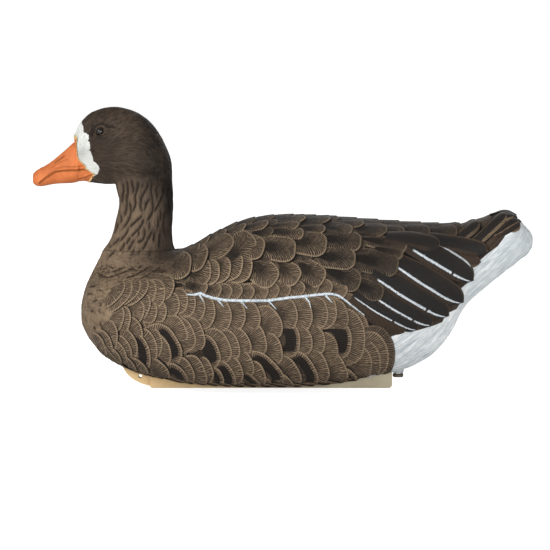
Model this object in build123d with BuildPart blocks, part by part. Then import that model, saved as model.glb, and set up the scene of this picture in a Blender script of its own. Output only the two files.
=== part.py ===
"""Floating goose decoy: hollow hull, screwed-on weighted keel, turning lift-off head and a drain plug.

Millimetres. The bird faces -X, +Y is its right-hand side, +Z is up, and the keel stands on z = 0.
"""

import os
from math import cos, pi, radians, sin
from typing import NamedTuple

from build123d import *

# ---------------------------------------------------------------- driving dimensions
WALL = 2.6  # moulded wall of hull and neck
HEAD_WALL = 3.2
NECK_X = -175.0  # axis on which the head turns and lifts
NECK_R = 43.5  # radius of the joint between neck and hull
DECK_Z = 168.0  # top of the hull's neck stub
STUB_BLEND = 30.0  # radius of the hollow curve between breast and neck stub
GASKET_T, GASKET_INSET = 1.2, 1.5
HEAD_Z = DECK_Z + GASKET_T  # underside of the neck
PLATE_T = 13.0  # solid base of the neck

SOCKET_R = 29.5  # bore of the neck socket
SOCKET_WALL = 2.5
SOCKET_DEPTH = 46.0
FLANGE_R, FLANGE_T = 39.0, 3.0
SEAT_GAP = 0.2  # assembly gap round both flanges
DECK_T = 15.0  # solid ring that carries the socket's flange
SPIGOT_R = SOCKET_R - 0.1
SPIGOT_WALL = 4.8
SPIGOT_LENGTH = 38.0
SPIGOT_FLANGE_R = 38.0
SPIGOT_CHAMFER = 1.5
RUN_GAP = 0.06  # running clearance of the seals and the bung
ORING_SECTION = 1.2  # radius of the seal's cord
ORING_OUTER_R = SOCKET_R - RUN_GAP
ORING_DROPS = (10.0, 26.0)  # below the deck
STOP_INNER_R, STOP_OUTER_R = 15.0, 25.0
STOP_HEIGHT = 6.5  # of the fixed stop, above the cup's floor
STOP_LUG_DROP = 5.0  # of the turning lug, below the spigot's foot
STOP_LUG_HALF = 14.0  # half the lug's angle
STOP_PLAY = 1.0
TURN_LIMIT = 60.0  # degrees each way

CHANNEL_HALF, CHANNEL_TOP = 15.0, 24.0  # the hull's groove for the keel
KEEL_HALF = 14.7
KEEL_FRONT, KEEL_REAR = -162.0, 133.5
KEEL_GAP = 0.3  # at each end of the groove
KEEL_WALL = 3.0
KEEL_NOSE, KEEL_HEEL, KEEL_ROUND = 2.0, 3.0, 1.8
LOBE_HALF = 7.0
LOBE_TIP = (-196.0, 28.0)
LOBE_ROOT_Z = 45.0
LINE_HOLE_R = 2.2
LINE_HOLE_X, LINE_HOLE_Z = -174.0, 13.5
BALLAST_FRONT, BALLAST_REAR = -112.0, 62.0
BALLAST_HALF, BALLAST_HEIGHT = 9.0, 15.0
BALLAST_GAP, BALLAST_ROUND = 1.0, 2.5

TIP_ROOM = 0.5  # beyond a screw's tip
SCREW_FIT = 0.05
SCREW_CLEARANCE = 0.35
KEEL_SCREW_XS = (-146.0, -124.0, 76.0, 118.0)
KEEL_SCREW_LENGTH = 34.0
KEEL_SCREW_SINK = 1.5  # of the heads, above the keel's face
SCREW_R = 2.0
SMALL_SCREW_R, SMALL_SCREW_HEAD_R, SMALL_SCREW_HEAD_T = 1.3, 2.6, 1.3
SMALL_SCREW_COUNT = 4
SOCKET_SCREW_R, SOCKET_SCREW_LENGTH = 35.6, 11.0
SPIGOT_SCREW_R, SPIGOT_SCREW_LENGTH = 33.6, 10.0
BOSS_R, BOSS_TOP = 7.0, 40.0

DRAIN_X, DRAIN_R, DRAIN_BORE = 141.0, 6.6, 4.0
DRAIN_FACE_Z = 16.5
BUNG_FLANGE_T, BUNG_SEAL_T, BUNG_SHANK = 3.4, 1.0, 17.0
BUNG_EDGE, BUNG_SLOT = 0.8, 1.7

EYE_X, EYE_Y, EYE_Z = -220.5, 22.5, 312.0
EYE_R = 4.4


class Screw(NamedTuple):
    """A round-headed screw's shank and head."""

    radius: float
    head_radius: float
    head_height: float


KEEL_SCREW = Screw(SCREW_R, 4.2, 2.6)
SMALL_SCREW = Screw(SMALL_SCREW_R, SMALL_SCREW_HEAD_R, SMALL_SCREW_HEAD_T)


class Station(NamedTuple):
    """One cross-section, square to X: lowest and highest points, half width, its level and fullness."""

    x: float
    low: float
    high: float
    half: float
    wide_z: float
    full_low: float = 2.0
    full_high: float = 2.0


HULL = [
    Station(-244.5, 76, 108, 24, 92),
    Station(-240, 67, 124, 40, 93),
    Station(-231, 53, 139, 57, 94),
    Station(-218, 41, 148, 72, 94, 2.1),
    Station(-200, 30, 154, 86, 93, 2.2),
    Station(-180, 21.5, 158, 98, 92, 2.3),
    Station(-155, 14.5, 162, 108, 91, 2.5),
    Station(-128, 9.5, 166.8, 115, 91, 2.6, 2.0),
    Station(-95, 6.5, 181.8, 120, 92, 2.8, 2.0),
    Station(-60, 4.5, 199.8, 122, 94, 2.8, 2.0),
    Station(-20, 4, 209.5, 122.5, 96, 2.8, 2.05),
    Station(25, 4.5, 210.5, 121, 99, 2.8, 2.05),
    Station(65, 7.5, 208.5, 115, 104, 2.7, 2.05),
    Station(105, 13, 205.4, 104, 112, 2.5, 2.1),
    Station(140, 19.5, 203, 89, 122, 2.3, 2.1),
    Station(168, 30.5, 201.3, 74, 133, 2.1, 2.1),
    Station(190, 47, 200.3, 62, 145),
    Station(206, 68, 200.2, 54, 154),
    Station(221, 96, 203.6, 49, 162),
    Station(238, 114, 208.5, 47.5, 172),
    Station(256, 129, 214, 46, 181),
    Station(273, 142, 216, 42, 187),
    Station(287, 153, 206.5, 34, 184),
    Station(297, 161.5, 195.5, 24, 180),
    Station(304.2, 170.5, 186, 11, 178),
]

HEAD = [
    Station(-253, 272, 307, 9, 293),
    Station(-249, 257, 317, 14.5, 289),
    Station(-243, 251.5, 326, 19.5, 286),
    Station(-234, 250, 334, 24, 283),
    Station(-222, 248.5, 339.3, 28.5, 281),
    Station(-208, 248, 341.8, 32.5, 280),
    Station(-192, 247.5, 340.2, 35.5, 279),
    Station(-176, 247, 334.6, 36.5, 278),
    Station(-163, 246, 325.5, 35.5, 276),
    Station(-152, 243, 312.5, 32.5, 272),
    Station(-143.5, 239, 297.5, 27, 266),
    Station(-137.8, 236, 284, 20, 259),
    Station(-134.8, 236, 270, 11, 252),
]

BILL = [
    Station(-304.2, 249.5, 260, 5, 254),
    Station(-301.5, 246.3, 263.5, 7.6, 253.5),
    Station(-295.5, 244.6, 267.5, 9.8, 253.5),
    Station(-286.5, 245.8, 272.5, 11.2, 255),
    Station(-276, 247.6, 280.3, 12.2, 258),
    Station(-265, 248.2, 289.6, 13.4, 261),
    Station(-256, 248.6, 297.6, 15, 263),
    Station(-247, 249.6, 301, 16.6, 265),
]

# the neck's level rings: height, front and back along X, half width
NECK = [
    (HEAD_Z, NECK_X - NECK_R, NECK_X + NECK_R, NECK_R),
    (174.5, -213.4, -133.6, 40.2),
    (182.0, -209.3, -135.0, 37.4),
    (195.7, -204.8, -135.2, 34.4),
    (210.0, -201.4, -134.2, 32.2),
    (225.0, -198.9, -133.8, 30.8),
    (239.0, -201.0, -133.8, 30.6),
    (252.0, -203.0, -134.4, 31.0),
    (272.0, -197.0, -136.8, 30.0),
    (286.0, -190.0, -142.0, 27.0),
]

# the hull's neck stub, as (radius, height): widest low inside the breast, narrowest at the deck
STUB = [
    (NECK_R, DECK_Z),
    (48.0, 158.0),
    (56.8, 142.0),
    (65.2, 122.0),
    (69.6, 98.0),
    (66.0, 78.0),
    (56.0, 62.0),
]

RING_POINTS = 16


def power(value: float, exponent: float) -> float:
    """A signed power, which gives a superellipse its fullness."""
    return (1 if value >= 0 else -1) * abs(value) ** exponent


def ring(station: Station, inset: float) -> list[tuple[float, float]]:
    """The section's points, from the lowest one round, drawn in by inset."""
    points = []
    for step in range(RING_POINTS):
        turn = 2 * pi * step / RING_POINTS
        low_side = cos(turn) > 0
        fullness = station.full_low if low_side else station.full_high
        reach = (station.wide_z - station.low if low_side else station.high - station.wide_z) - inset
        across = (station.half - inset) * power(sin(turn), 2 / fullness)
        points.append((across, station.wide_z - reach * power(cos(turn), 2 / fullness)))
    return points


def skin(stations: list[Station], inset: float = 0.0) -> Part:
    """A closed body through the stations, or the same body a wall thickness smaller."""
    first, last = stations[0].x, stations[-1].x
    middle = (first + last) / 2
    shrink = 1 - 2 * inset / (last - first)
    with BuildPart() as body:
        for station in stations:
            with BuildSketch(Plane.YZ.offset(middle + (station.x - middle) * shrink)):
                with BuildLine():
                    Spline(*ring(station, inset), periodic=True)
                make_face()
        loft()
    return body.part


def stub(inset: float = 0.0, top: float = DECK_Z) -> Part:
    """The round stub that carries the neck, turned about the neck's axis."""
    profile = [(radius - inset, height) for radius, height in STUB]
    with BuildPart() as turned:
        with BuildSketch(Plane.XZ):
            with BuildLine():
                Spline(*[(NECK_X + radius, height) for radius, height in profile])
                Polyline((NECK_X + profile[-1][0], profile[-1][1]), (NECK_X, profile[-1][1]),
                         (NECK_X, DECK_Z), (NECK_X + profile[0][0], DECK_Z))
            make_face()
        revolve(axis=Axis((NECK_X, 0, 0), (0, 0, 1)))
        if top < DECK_Z:
            split(bisect_by=Plane.XY.offset(top), keep=Keep.BOTTOM)
    return turned.part


def neck(inset: float = 0.0) -> Part:
    """The neck as a loft through level ovals."""
    with BuildPart() as column:
        for height, front, back, half in NECK:
            with BuildSketch(Plane.XY.offset(height)):
                with Locations(((front + back) / 2, 0)):
                    Ellipse((back - front) / 2 - inset, half - inset)
        loft()
    return column.part


def slab(x_from: float, x_to: float, half: float, z_from: float, z_to: float) -> Part:
    """An upright block, centred on the bird's middle plane."""
    with BuildPart(Plane.XY.offset(z_from)) as block:
        with Locations(((x_from + x_to) / 2, 0)):
            Box(x_to - x_from, 2 * half, z_to - z_from, align=(Align.CENTER, Align.CENTER, Align.MIN))
    return block.part


def sector(inner: float, outer: float, middle: float, half: float, z_from: float, height: float) -> Part:
    """Part of a ring about the neck's axis, half degrees to each side of middle."""
    with BuildPart() as piece:
        with BuildSketch(Plane.XY.offset(z_from)):
            with BuildLine(Location((NECK_X, 0, 0))):
                outside = CenterArc((0, 0), outer, middle - half, 2 * half)
                inside = CenterArc((0, 0), inner, middle - half, 2 * half)
                Line(outside @ 0, inside @ 0)
                Line(outside @ 1, inside @ 1)
            make_face()
        extrude(amount=height)
    return piece.part


def on_circle(radius: float, start: float) -> list[tuple[float, float]]:
    """The small screws' places, evenly round the neck's axis from the start angle."""
    turns = [radians(start + 360 * step / SMALL_SCREW_COUNT) for step in range(SMALL_SCREW_COUNT)]
    return [(NECK_X + radius * cos(turn), radius * sin(turn)) for turn in turns]


def screws(places: list[tuple[float, float]], face_z: float, screw: Screw, length: float, up: int) -> Part:
    """Identical cross-slot screws with their heads' faces at face_z and shanks up (+1) or down (-1)."""
    with BuildPart() as lot:
        with BuildSketch(Plane.XY.offset(face_z)):
            with Locations(*places):
                Circle(screw.head_radius)
        extrude(amount=up * screw.head_height)
        with BuildSketch(Plane.XY.offset(face_z)):
            with Locations(*places):
                Circle(screw.radius)
        extrude(amount=up * length)
        with BuildSketch(Plane.XY.offset(face_z)):
            with Locations(*places):
                Rectangle(2.2 * screw.radius, 0.5 * screw.radius)
                Rectangle(0.5 * screw.radius, 2.2 * screw.radius)
        extrude(amount=up * screw.head_height / 2, mode=Mode.SUBTRACT)
    return lot.part


# ---------------------------------------------------------------- hull
with BuildPart() as hull_outside:
    add(skin(HULL))
    add(stub())
    stub_seam = (
        hull_outside.edges()
        .filter_by_position(Axis.Z, STUB[-1][1], DECK_Z - 1)
        .filter_by_position(Axis.Y, -STUB[-1][0], STUB[-1][0])
        .sort_by(SortBy.LENGTH)[-1]
    )
    fillet(stub_seam, STUB_BLEND)

keel_screw_places = [(x, 0) for x in KEEL_SCREW_XS]

with BuildPart() as cavity:
    add(skin(HULL, WALL))
    add(stub(WALL, DECK_Z - DECK_T))
    channel_walls = slab(KEEL_FRONT - WALL, KEEL_REAR + WALL, CHANNEL_HALF + WALL, -WALL, CHANNEL_TOP + WALL)
    add(channel_walls, mode=Mode.SUBTRACT)
    # closed bosses over the keel's screws and round the drain
    with BuildSketch(Plane.XY):
        with Locations(*keel_screw_places):
            Circle(BOSS_R)
        with Locations((DRAIN_X, 0)):
            Circle(DRAIN_R)
    extrude(amount=BOSS_TOP, mode=Mode.SUBTRACT)

with BuildPart() as body_shell:
    add(hull_outside.part)
    with BuildSketch(Plane.XY.offset(DRAIN_FACE_Z)):
        with Locations((DRAIN_X, 0)):
            Circle(DRAIN_R)
    extrude(amount=BOSS_TOP - DRAIN_FACE_Z)
    add(cavity.part, mode=Mode.SUBTRACT)
    add(slab(KEEL_FRONT, KEEL_REAR, CHANNEL_HALF, -WALL, CHANNEL_TOP), mode=Mode.SUBTRACT)
    # bore and seat for the neck socket, with pilots for its screws
    with BuildSketch(Plane.XY.offset(DECK_Z)):
        with Locations((NECK_X, 0)):
            Circle(SOCKET_R + SOCKET_WALL + SEAT_GAP)
    extrude(amount=-DECK_T - WALL, mode=Mode.SUBTRACT)
    with BuildSketch(Plane.XY.offset(DECK_Z)):
        with Locations((NECK_X, 0)):
            Circle(FLANGE_R + SEAT_GAP)
    extrude(amount=-FLANGE_T, mode=Mode.SUBTRACT)
    with BuildSketch(Plane.XY.offset(DECK_Z - FLANGE_T)):
        with Locations((NECK_X, 0)):
            with PolarLocations(SOCKET_SCREW_R, SMALL_SCREW_COUNT, start_angle=45):
                Circle(SMALL_SCREW_R + SCREW_FIT)
    extrude(amount=FLANGE_T - SOCKET_SCREW_LENGTH - TIP_ROOM, mode=Mode.SUBTRACT)
    # blind pilots for the keel's screws, and the drain's bore
    with BuildSketch(Plane.XY.offset(CHANNEL_TOP)):
        with Locations(*keel_screw_places):
            Circle(SCREW_R + SCREW_FIT)
    extrude(amount=KEEL_SCREW_SINK + KEEL_SCREW_LENGTH + TIP_ROOM - CHANNEL_TOP, mode=Mode.SUBTRACT)
    with BuildSketch(Plane.XY.offset(DRAIN_FACE_Z)):
        with Locations((DRAIN_X, 0)):
            Circle(DRAIN_BORE)
    extrude(amount=BOSS_TOP - DRAIN_FACE_Z + WALL, mode=Mode.SUBTRACT)

# ---------------------------------------------------------------- neck socket
SOCKET_FLOOR = DECK_Z - SOCKET_DEPTH
STOP_WINDOW = TURN_LIMIT + STOP_LUG_HALF + STOP_PLAY
NECK_AXIS = Axis((NECK_X, 0, 0), (0, 0, 1))

with BuildPart() as neck_socket:
    with BuildSketch(Plane.XZ):
        with BuildLine(Location((NECK_X, 0, 0))):
            Polyline(
                (0, SOCKET_FLOOR - FLANGE_T),
                (SOCKET_R + SOCKET_WALL, SOCKET_FLOOR - FLANGE_T),
                (SOCKET_R + SOCKET_WALL, DECK_Z - FLANGE_T),
                (FLANGE_R, DECK_Z - FLANGE_T),
                (FLANGE_R, DECK_Z),
                (SOCKET_R, DECK_Z),
                (SOCKET_R, SOCKET_FLOOR),
                (0, SOCKET_FLOOR),
                close=True,
            )
        make_face()
    revolve(axis=NECK_AXIS)
    # fixed stop on the cup's floor, open over the arc in which the spigot's lug turns
    add(sector(STOP_INNER_R, STOP_OUTER_R, 180, 180 - STOP_WINDOW, SOCKET_FLOOR, STOP_HEIGHT))
    with Locations(Plane.XY.offset(DECK_Z)):
        with Locations((NECK_X, 0)):
            with PolarLocations(SOCKET_SCREW_R, SMALL_SCREW_COUNT, start_angle=45):
                CounterBoreHole(
                    SMALL_SCREW_R + SCREW_FIT, SMALL_SCREW_HEAD_R + SCREW_FIT, SMALL_SCREW_HEAD_T, FLANGE_T
                )

with BuildPart() as socket_screws:
    add(screws(on_circle(SOCKET_SCREW_R, 45), DECK_Z, SMALL_SCREW, SOCKET_SCREW_LENGTH, -1))

# ---------------------------------------------------------------- keel and ballast
with BuildPart() as keel_housing:
    with BuildSketch(Plane.XZ.offset(-KEEL_HALF)):
        with BuildLine():
            Polyline(
                (KEEL_FRONT + KEEL_GAP, CHANNEL_TOP),
                (KEEL_FRONT + KEEL_GAP, KEEL_NOSE),
                (KEEL_FRONT + KEEL_GAP + KEEL_NOSE, 0),
                (KEEL_REAR - KEEL_GAP - KEEL_HEEL, 0),
                (KEEL_REAR - KEEL_GAP, KEEL_HEEL),
                (KEEL_REAR - KEEL_GAP, CHANNEL_TOP),
                close=True,
            )
        make_face()
    extrude(amount=2 * KEEL_HALF)
    fillet(keel_housing.edges().filter_by(Axis.X).group_by(Axis.Z)[0], KEEL_ROUND)
    room_front, room_rear = BALLAST_FRONT - BALLAST_GAP, BALLAST_REAR + BALLAST_GAP
    add(slab(room_front, room_rear, KEEL_HALF - KEEL_WALL, KEEL_WALL, CHANNEL_TOP + 1), mode=Mode.SUBTRACT)
    with BuildSketch(Plane.XY):
        with Locations(*keel_screw_places):
            Circle(KEEL_SCREW.radius + SCREW_CLEARANCE)
    extrude(amount=CHANNEL_TOP, mode=Mode.SUBTRACT)
    with BuildSketch(Plane.XY):
        with Locations(*keel_screw_places):
            Circle(KEEL_SCREW.head_radius + SCREW_CLEARANCE)
    extrude(amount=KEEL_SCREW_SINK + KEEL_SCREW.head_height, mode=Mode.SUBTRACT)

# the bow lobe lies against the hull and carries the anchor line's hole
with BuildPart() as bow_lobe:
    with BuildSketch(Plane.XZ.offset(-LOBE_HALF)):
        with BuildLine():
            lobe_edge = Spline(
                (KEEL_FRONT + KEEL_GAP, KEEL_NOSE), (-172, 4.6), (-182.5, 9.8), (-190.5, 17), LOBE_TIP
            )
            Polyline(
                lobe_edge @ 1,
                (LOBE_TIP[0] + 6, LOBE_ROOT_Z),
                (KEEL_FRONT + KEEL_GAP, LOBE_ROOT_Z),
                lobe_edge @ 0,
            )
        make_face()
    extrude(amount=2 * LOBE_HALF)
    add(hull_outside.part, mode=Mode.SUBTRACT)
    with BuildSketch(Plane.XZ.offset(-LOBE_HALF)):
        with Locations((LINE_HOLE_X, LINE_HOLE_Z)):
            Circle(LINE_HOLE_R)
    extrude(amount=2 * LOBE_HALF, mode=Mode.SUBTRACT)

with BuildPart() as keel:
    add(keel_housing.part)
    add(bow_lobe.part)

with BuildPart() as keel_ballast:
    add(slab(BALLAST_FRONT, BALLAST_REAR, BALLAST_HALF, KEEL_WALL, KEEL_WALL + BALLAST_HEIGHT))
    fillet(keel_ballast.edges().filter_by(Axis.X), BALLAST_ROUND)

with BuildPart() as keel_screws:
    add(screws(keel_screw_places, KEEL_SCREW_SINK, KEEL_SCREW, KEEL_SCREW_LENGTH, 1))

# ---------------------------------------------------------------- seals of the neck joint
with BuildPart() as neck_gasket:
    with BuildSketch(Plane.XY.offset(DECK_Z)):
        with Locations((NECK_X, 0)):
            Circle(NECK_R - GASKET_INSET)
            Circle(SPIGOT_R + 2 * SEAT_GAP, mode=Mode.SUBTRACT)
    extrude(amount=GASKET_T)

with BuildPart() as spigot_orings:
    with BuildSketch(Plane.XZ):
        with Locations(*[(NECK_X + ORING_OUTER_R - ORING_SECTION, DECK_Z - drop) for drop in ORING_DROPS]):
            Circle(ORING_SECTION)
    revolve(axis=NECK_AXIS)

# ---------------------------------------------------------------- head
with BuildPart() as head_cavity:
    add(neck(WALL))
    plate = slab(NECK_X - 2 * NECK_R, NECK_X + 2 * NECK_R, 2 * NECK_R, HEAD_Z - 1, HEAD_Z + PLATE_T)
    add(plate, mode=Mode.SUBTRACT)
    add(skin(HEAD, HEAD_WALL))
    with Locations((EYE_X, EYE_Y, EYE_Z), (EYE_X, -EYE_Y, EYE_Z)):
        Sphere(EYE_R + WALL, mode=Mode.SUBTRACT)

with BuildPart() as head_shell:
    add(neck())
    add(skin(HEAD))
    add(skin(BILL))
    add(head_cavity.part, mode=Mode.SUBTRACT)
    with Locations((EYE_X, EYE_Y, EYE_Z), (EYE_X, -EYE_Y, EYE_Z)):
        Sphere(EYE_R + SCREW_FIT, mode=Mode.SUBTRACT)
    # seat for the spigot's flange, with pilots for its screws
    with BuildSketch(Plane.XY.offset(HEAD_Z)):
        with Locations((NECK_X, 0)):
            Circle(SPIGOT_FLANGE_R + SEAT_GAP)
    extrude(amount=FLANGE_T, mode=Mode.SUBTRACT)
    with BuildSketch(Plane.XY.offset(HEAD_Z + FLANGE_T)):
        with Locations((NECK_X, 0)):
            with PolarLocations(SPIGOT_SCREW_R, SMALL_SCREW_COUNT):
                Circle(SMALL_SCREW_R + SCREW_FIT)
    extrude(amount=SPIGOT_SCREW_LENGTH - FLANGE_T + TIP_ROOM, mode=Mode.SUBTRACT)

with BuildPart() as eye_right:
    with Locations((EYE_X, EYE_Y, EYE_Z)):
        Sphere(EYE_R)

with BuildPart() as eye_left:
    add(mirror(eye_right.part, about=Plane.XZ))

SPIGOT_FOOT = DECK_Z - SPIGOT_LENGTH

with BuildPart() as neck_spigot:
    with BuildSketch(Plane.XZ):
        with BuildLine(Location((NECK_X, 0, 0))):
            Polyline(
                (0, SPIGOT_FOOT),
                (SPIGOT_R - SPIGOT_CHAMFER, SPIGOT_FOOT),
                (SPIGOT_R, SPIGOT_FOOT + SPIGOT_CHAMFER),
                (SPIGOT_R, HEAD_Z),
                (SPIGOT_FLANGE_R, HEAD_Z),
                (SPIGOT_FLANGE_R, HEAD_Z + FLANGE_T),
                (SPIGOT_R - SPIGOT_WALL, HEAD_Z + FLANGE_T),
                (SPIGOT_R - SPIGOT_WALL, SPIGOT_FOOT + FLANGE_T),
                (0, SPIGOT_FOOT + FLANGE_T),
                close=True,
            )
        make_face()
    revolve(axis=NECK_AXIS)
    # each seal's groove, cut into the wall
    for drop in ORING_DROPS:
        with BuildSketch(Plane.XY.offset(DECK_Z - drop - ORING_SECTION - RUN_GAP)):
            with Locations((NECK_X, 0)):
                Circle(SPIGOT_R + 1)
                Circle(ORING_OUTER_R - 2 * ORING_SECTION - RUN_GAP, mode=Mode.SUBTRACT)
        extrude(amount=2 * (ORING_SECTION + RUN_GAP), mode=Mode.SUBTRACT)
    lug_foot = SPIGOT_FOOT - STOP_LUG_DROP
    add(sector(STOP_INNER_R + 1, STOP_OUTER_R - 1, 0, STOP_LUG_HALF, lug_foot, STOP_LUG_DROP + 1))
    with Locations(Plane((NECK_X, 0, HEAD_Z), z_dir=(0, 0, -1))):
        with PolarLocations(SPIGOT_SCREW_R, SMALL_SCREW_COUNT):
            CounterBoreHole(
                SMALL_SCREW_R + SCREW_FIT, SMALL_SCREW_HEAD_R + SCREW_FIT, SMALL_SCREW_HEAD_T, FLANGE_T
            )

with BuildPart() as spigot_screws:
    add(screws(on_circle(SPIGOT_SCREW_R, 0), HEAD_Z, SMALL_SCREW, SPIGOT_SCREW_LENGTH, 1))

# ---------------------------------------------------------------- drain plug
BUNG_TOP = DRAIN_FACE_Z - BUNG_SEAL_T

with BuildPart() as drain_bung:
    with BuildSketch(Plane.XY.offset(BUNG_TOP)):
        with Locations((DRAIN_X, 0)):
            Circle(DRAIN_R - RUN_GAP)
    extrude(amount=-BUNG_FLANGE_T)
    chamfer(drain_bung.edges().group_by(Axis.Z)[0], BUNG_EDGE)
    with BuildSketch(Plane.XY.offset(BUNG_TOP)):
        with Locations((DRAIN_X, 0)):
            Circle(DRAIN_BORE - RUN_GAP)
    extrude(amount=BUNG_SHANK)
    chamfer(drain_bung.edges().group_by(Axis.Z)[-1], BUNG_EDGE)
    with BuildSketch(Plane.XY.offset(BUNG_TOP - BUNG_FLANGE_T)):
        with Locations((DRAIN_X, 0)):
            Rectangle(2 * DRAIN_R, BUNG_SLOT)
    extrude(amount=BUNG_SLOT, mode=Mode.SUBTRACT)

with BuildPart() as bung_seal:
    with BuildSketch(Plane.XY.offset(BUNG_TOP)):
        with Locations((DRAIN_X, 0)):
            Circle(DRAIN_R - 0.5)
            Circle(DRAIN_BORE, mode=Mode.SUBTRACT)
    extrude(amount=BUNG_SEAL_T)

# ---------------------------------------------------------------- write every piece
PIECES = {
    "body_shell": body_shell,
    "neck_socket": neck_socket,
    "socket_screws": socket_screws,
    "keel": keel,
    "keel_ballast": keel_ballast,
    "keel_screws": keel_screws,
    "neck_gasket": neck_gasket,
    "spigot_orings": spigot_orings,
    "head_shell": head_shell,
    "eye_left": eye_left,
    "eye_right": eye_right,
    "neck_spigot": neck_spigot,
    "spigot_screws": spigot_screws,
    "drain_bung": drain_bung,
    "bung_seal": bung_seal,
}

os.makedirs("parts", exist_ok=True)
for name, piece in PIECES.items():
    piece.part.label = name
    export_step(piece.part, f"parts/{name}.step")
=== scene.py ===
"""Looks of a floating white-fronted goose decoy, built round its packed working frame.

The hull and head get a moulded skin, overlapping feathers in tracts, a painted bill and face, and the keel,
plug and inner pieces get their finishes. Layouts are in millimetres, and meshes are written in metres.
"""

import logging
import math
import random
from dataclasses import dataclass, field
from enum import Enum
from typing import Callable, Sequence

import bmesh
import bpy
import numpy as np
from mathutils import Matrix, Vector, kdtree, noise
from mathutils.bvhtree import BVHTree


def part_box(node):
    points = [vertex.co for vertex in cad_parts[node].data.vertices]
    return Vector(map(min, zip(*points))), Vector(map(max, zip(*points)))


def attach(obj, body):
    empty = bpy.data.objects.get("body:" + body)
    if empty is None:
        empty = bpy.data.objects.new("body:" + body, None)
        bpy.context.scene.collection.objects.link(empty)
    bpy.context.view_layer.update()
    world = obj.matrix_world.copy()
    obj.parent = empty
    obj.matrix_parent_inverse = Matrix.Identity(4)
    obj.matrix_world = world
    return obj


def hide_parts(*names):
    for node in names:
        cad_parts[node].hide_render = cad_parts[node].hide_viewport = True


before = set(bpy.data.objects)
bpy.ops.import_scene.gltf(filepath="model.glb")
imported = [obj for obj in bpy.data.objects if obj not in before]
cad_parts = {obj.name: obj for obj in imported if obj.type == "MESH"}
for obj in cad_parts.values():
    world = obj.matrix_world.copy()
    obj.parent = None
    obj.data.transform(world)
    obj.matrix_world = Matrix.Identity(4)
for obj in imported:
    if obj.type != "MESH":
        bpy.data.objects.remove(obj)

MM = 0.001
LOG = logging.getLogger("goose_decoy")
NECK_AXIS_X = -175.0
NECK_RADIUS = 33.0
JOINT_Z = 169.2
JOINT_RADIUS = 43.5
WELL_INSIDE = 9.0

Array = np.ndarray
Material = bpy.types.Material
Piece = bpy.types.Object
Socket = bpy.types.NodeSocket
Line = Sequence[tuple[float, float]]
Look = tuple[object, object, object]
Placer = Callable[[float, float], Vector]


class Side(Enum):
    """Which flank of the bird a piece is on; the value is the sign of Y."""

    LEFT = -1
    RIGHT = 1


@dataclass(frozen=True)
class SideDrawing:
    """The bird's side as a distant eye sees it; layouts are written in its millimetres."""

    distance: float = 3000.0
    rise: float = 4.0
    aim_x: float = -9.5
    aim_z: float = 137.0

    def eye(self, side: Side) -> Vector:
        """Where the eye stands.

        Args:
            side: Which side it looks at.

        Returns:
            The place in millimetres.
        """
        turn = math.radians(self.rise)
        reach = self.distance * math.cos(turn)
        return Vector((self.aim_x, side.value * reach, self.aim_z + self.distance * math.sin(turn)))

    def flat(self, points: Array) -> Array:
        """Each point's place on the drawing.

        Args:
            points: Places in millimetres, one row each, from either side.

        Returns:
            Rows of place along the bird and level.
        """
        eye = self.eye(Side.LEFT)
        reach = -eye.y / (-np.abs(points[:, 1]) - eye.y)
        along = eye.x + (points[:, 0] - eye.x) * reach
        level = eye.z + (points[:, 2] - eye.z) * reach
        return np.stack([along, level], axis=1)


DRAWING = SideDrawing()


# ---- numbers to shapes
def blend(stops: Line, at: float) -> float:
    """Straight-line value at a place between stops of place and value, level beyond both ends."""
    return float(np.interp(at, [s[0] for s in stops], [s[1] for s in stops]))


def ease(low: float, high: float, value: Array) -> Array:
    """Smooth step from 0 at low to 1 at high."""
    part = np.clip((value - low) / (high - low), 0.0, 1.0)
    return part * part * (3 - 2 * part)


def rough(points: Array, size: float, seed: float = 0.0) -> Array:
    """Smooth noise at each point, from about -1 to 1, in lumps of a size in millimetres."""
    return np.array([noise.noise(Vector(p) / size + Vector((seed, seed * 1.7, -seed))) for p in points])


def line_distance(points: Array, line: Line) -> Array:
    """Distance on the drawing from each point to a chain of straight runs.

    Args:
        points: Rows of place and level.
        line: The chain's corners.

    Returns:
        The shortest distance for each row.
    """
    best = np.full(len(points), 1e9)
    for start, end in zip(line, line[1:]):
        a, b = np.array(start, float), np.array(end, float)
        run = b - a
        part = np.clip(((points - a) @ run) / (run @ run), 0, 1)
        best = np.minimum(best, np.linalg.norm(points - (a + part[:, None] * run), axis=1))
    return best


def inside(points: Array, outline: Line) -> Array:
    """Whether each point of the drawing lies in a closed outline.

    Args:
        points: Rows of place and level.
        outline: Its corners.

    Returns:
        True or False for each row.
    """
    hit = np.zeros(len(points), bool)
    ring = list(outline) + [outline[0]]
    for (x0, z0), (x1, z1) in zip(ring, ring[1:]):
        crosses = (z0 > points[:, 1]) != (z1 > points[:, 1])
        reach = x0 + (points[:, 1] - z0) * (x1 - x0) / ((z1 - z0) or 1e-9)
        hit ^= crosses & (points[:, 0] < reach)
    return hit


def signed_gap(points: Array, outline: Line, edge: Line) -> Array:
    """Distance to an edge, positive inside the outline and negative outside it."""
    gap = line_distance(points, edge)
    return np.where(inside(points, outline), gap, -gap)


def bell(gap: Array, width: float) -> Array:
    """A smooth hump: 1 at no gap, and about a third at one width."""
    return np.exp(-((gap / width) ** 2))


def tube_faces(tall: int, wide: int) -> list[tuple[int, int, int, int]]:
    """Four-cornered faces of a tube of points.

    Args:
        tall: Rings of points.
        wide: Points in each ring.

    Returns:
        The point numbers of each face.
    """
    return [
        (r * wide + c, r * wide + (c + 1) % wide, (r + 1) * wide + (c + 1) % wide, (r + 1) * wide + c)
        for r in range(tall - 1)
        for c in range(wide)
    ]


def link_object(name: str, data: bpy.types.ID) -> Piece:
    """Links a new object to the scene.

    Args:
        name: The object's name.
        data: Its mesh, lamp or camera.

    Returns:
        The new object.
    """
    made = bpy.data.objects.new(name, data)
    bpy.context.scene.collection.objects.link(made)
    return made


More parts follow.
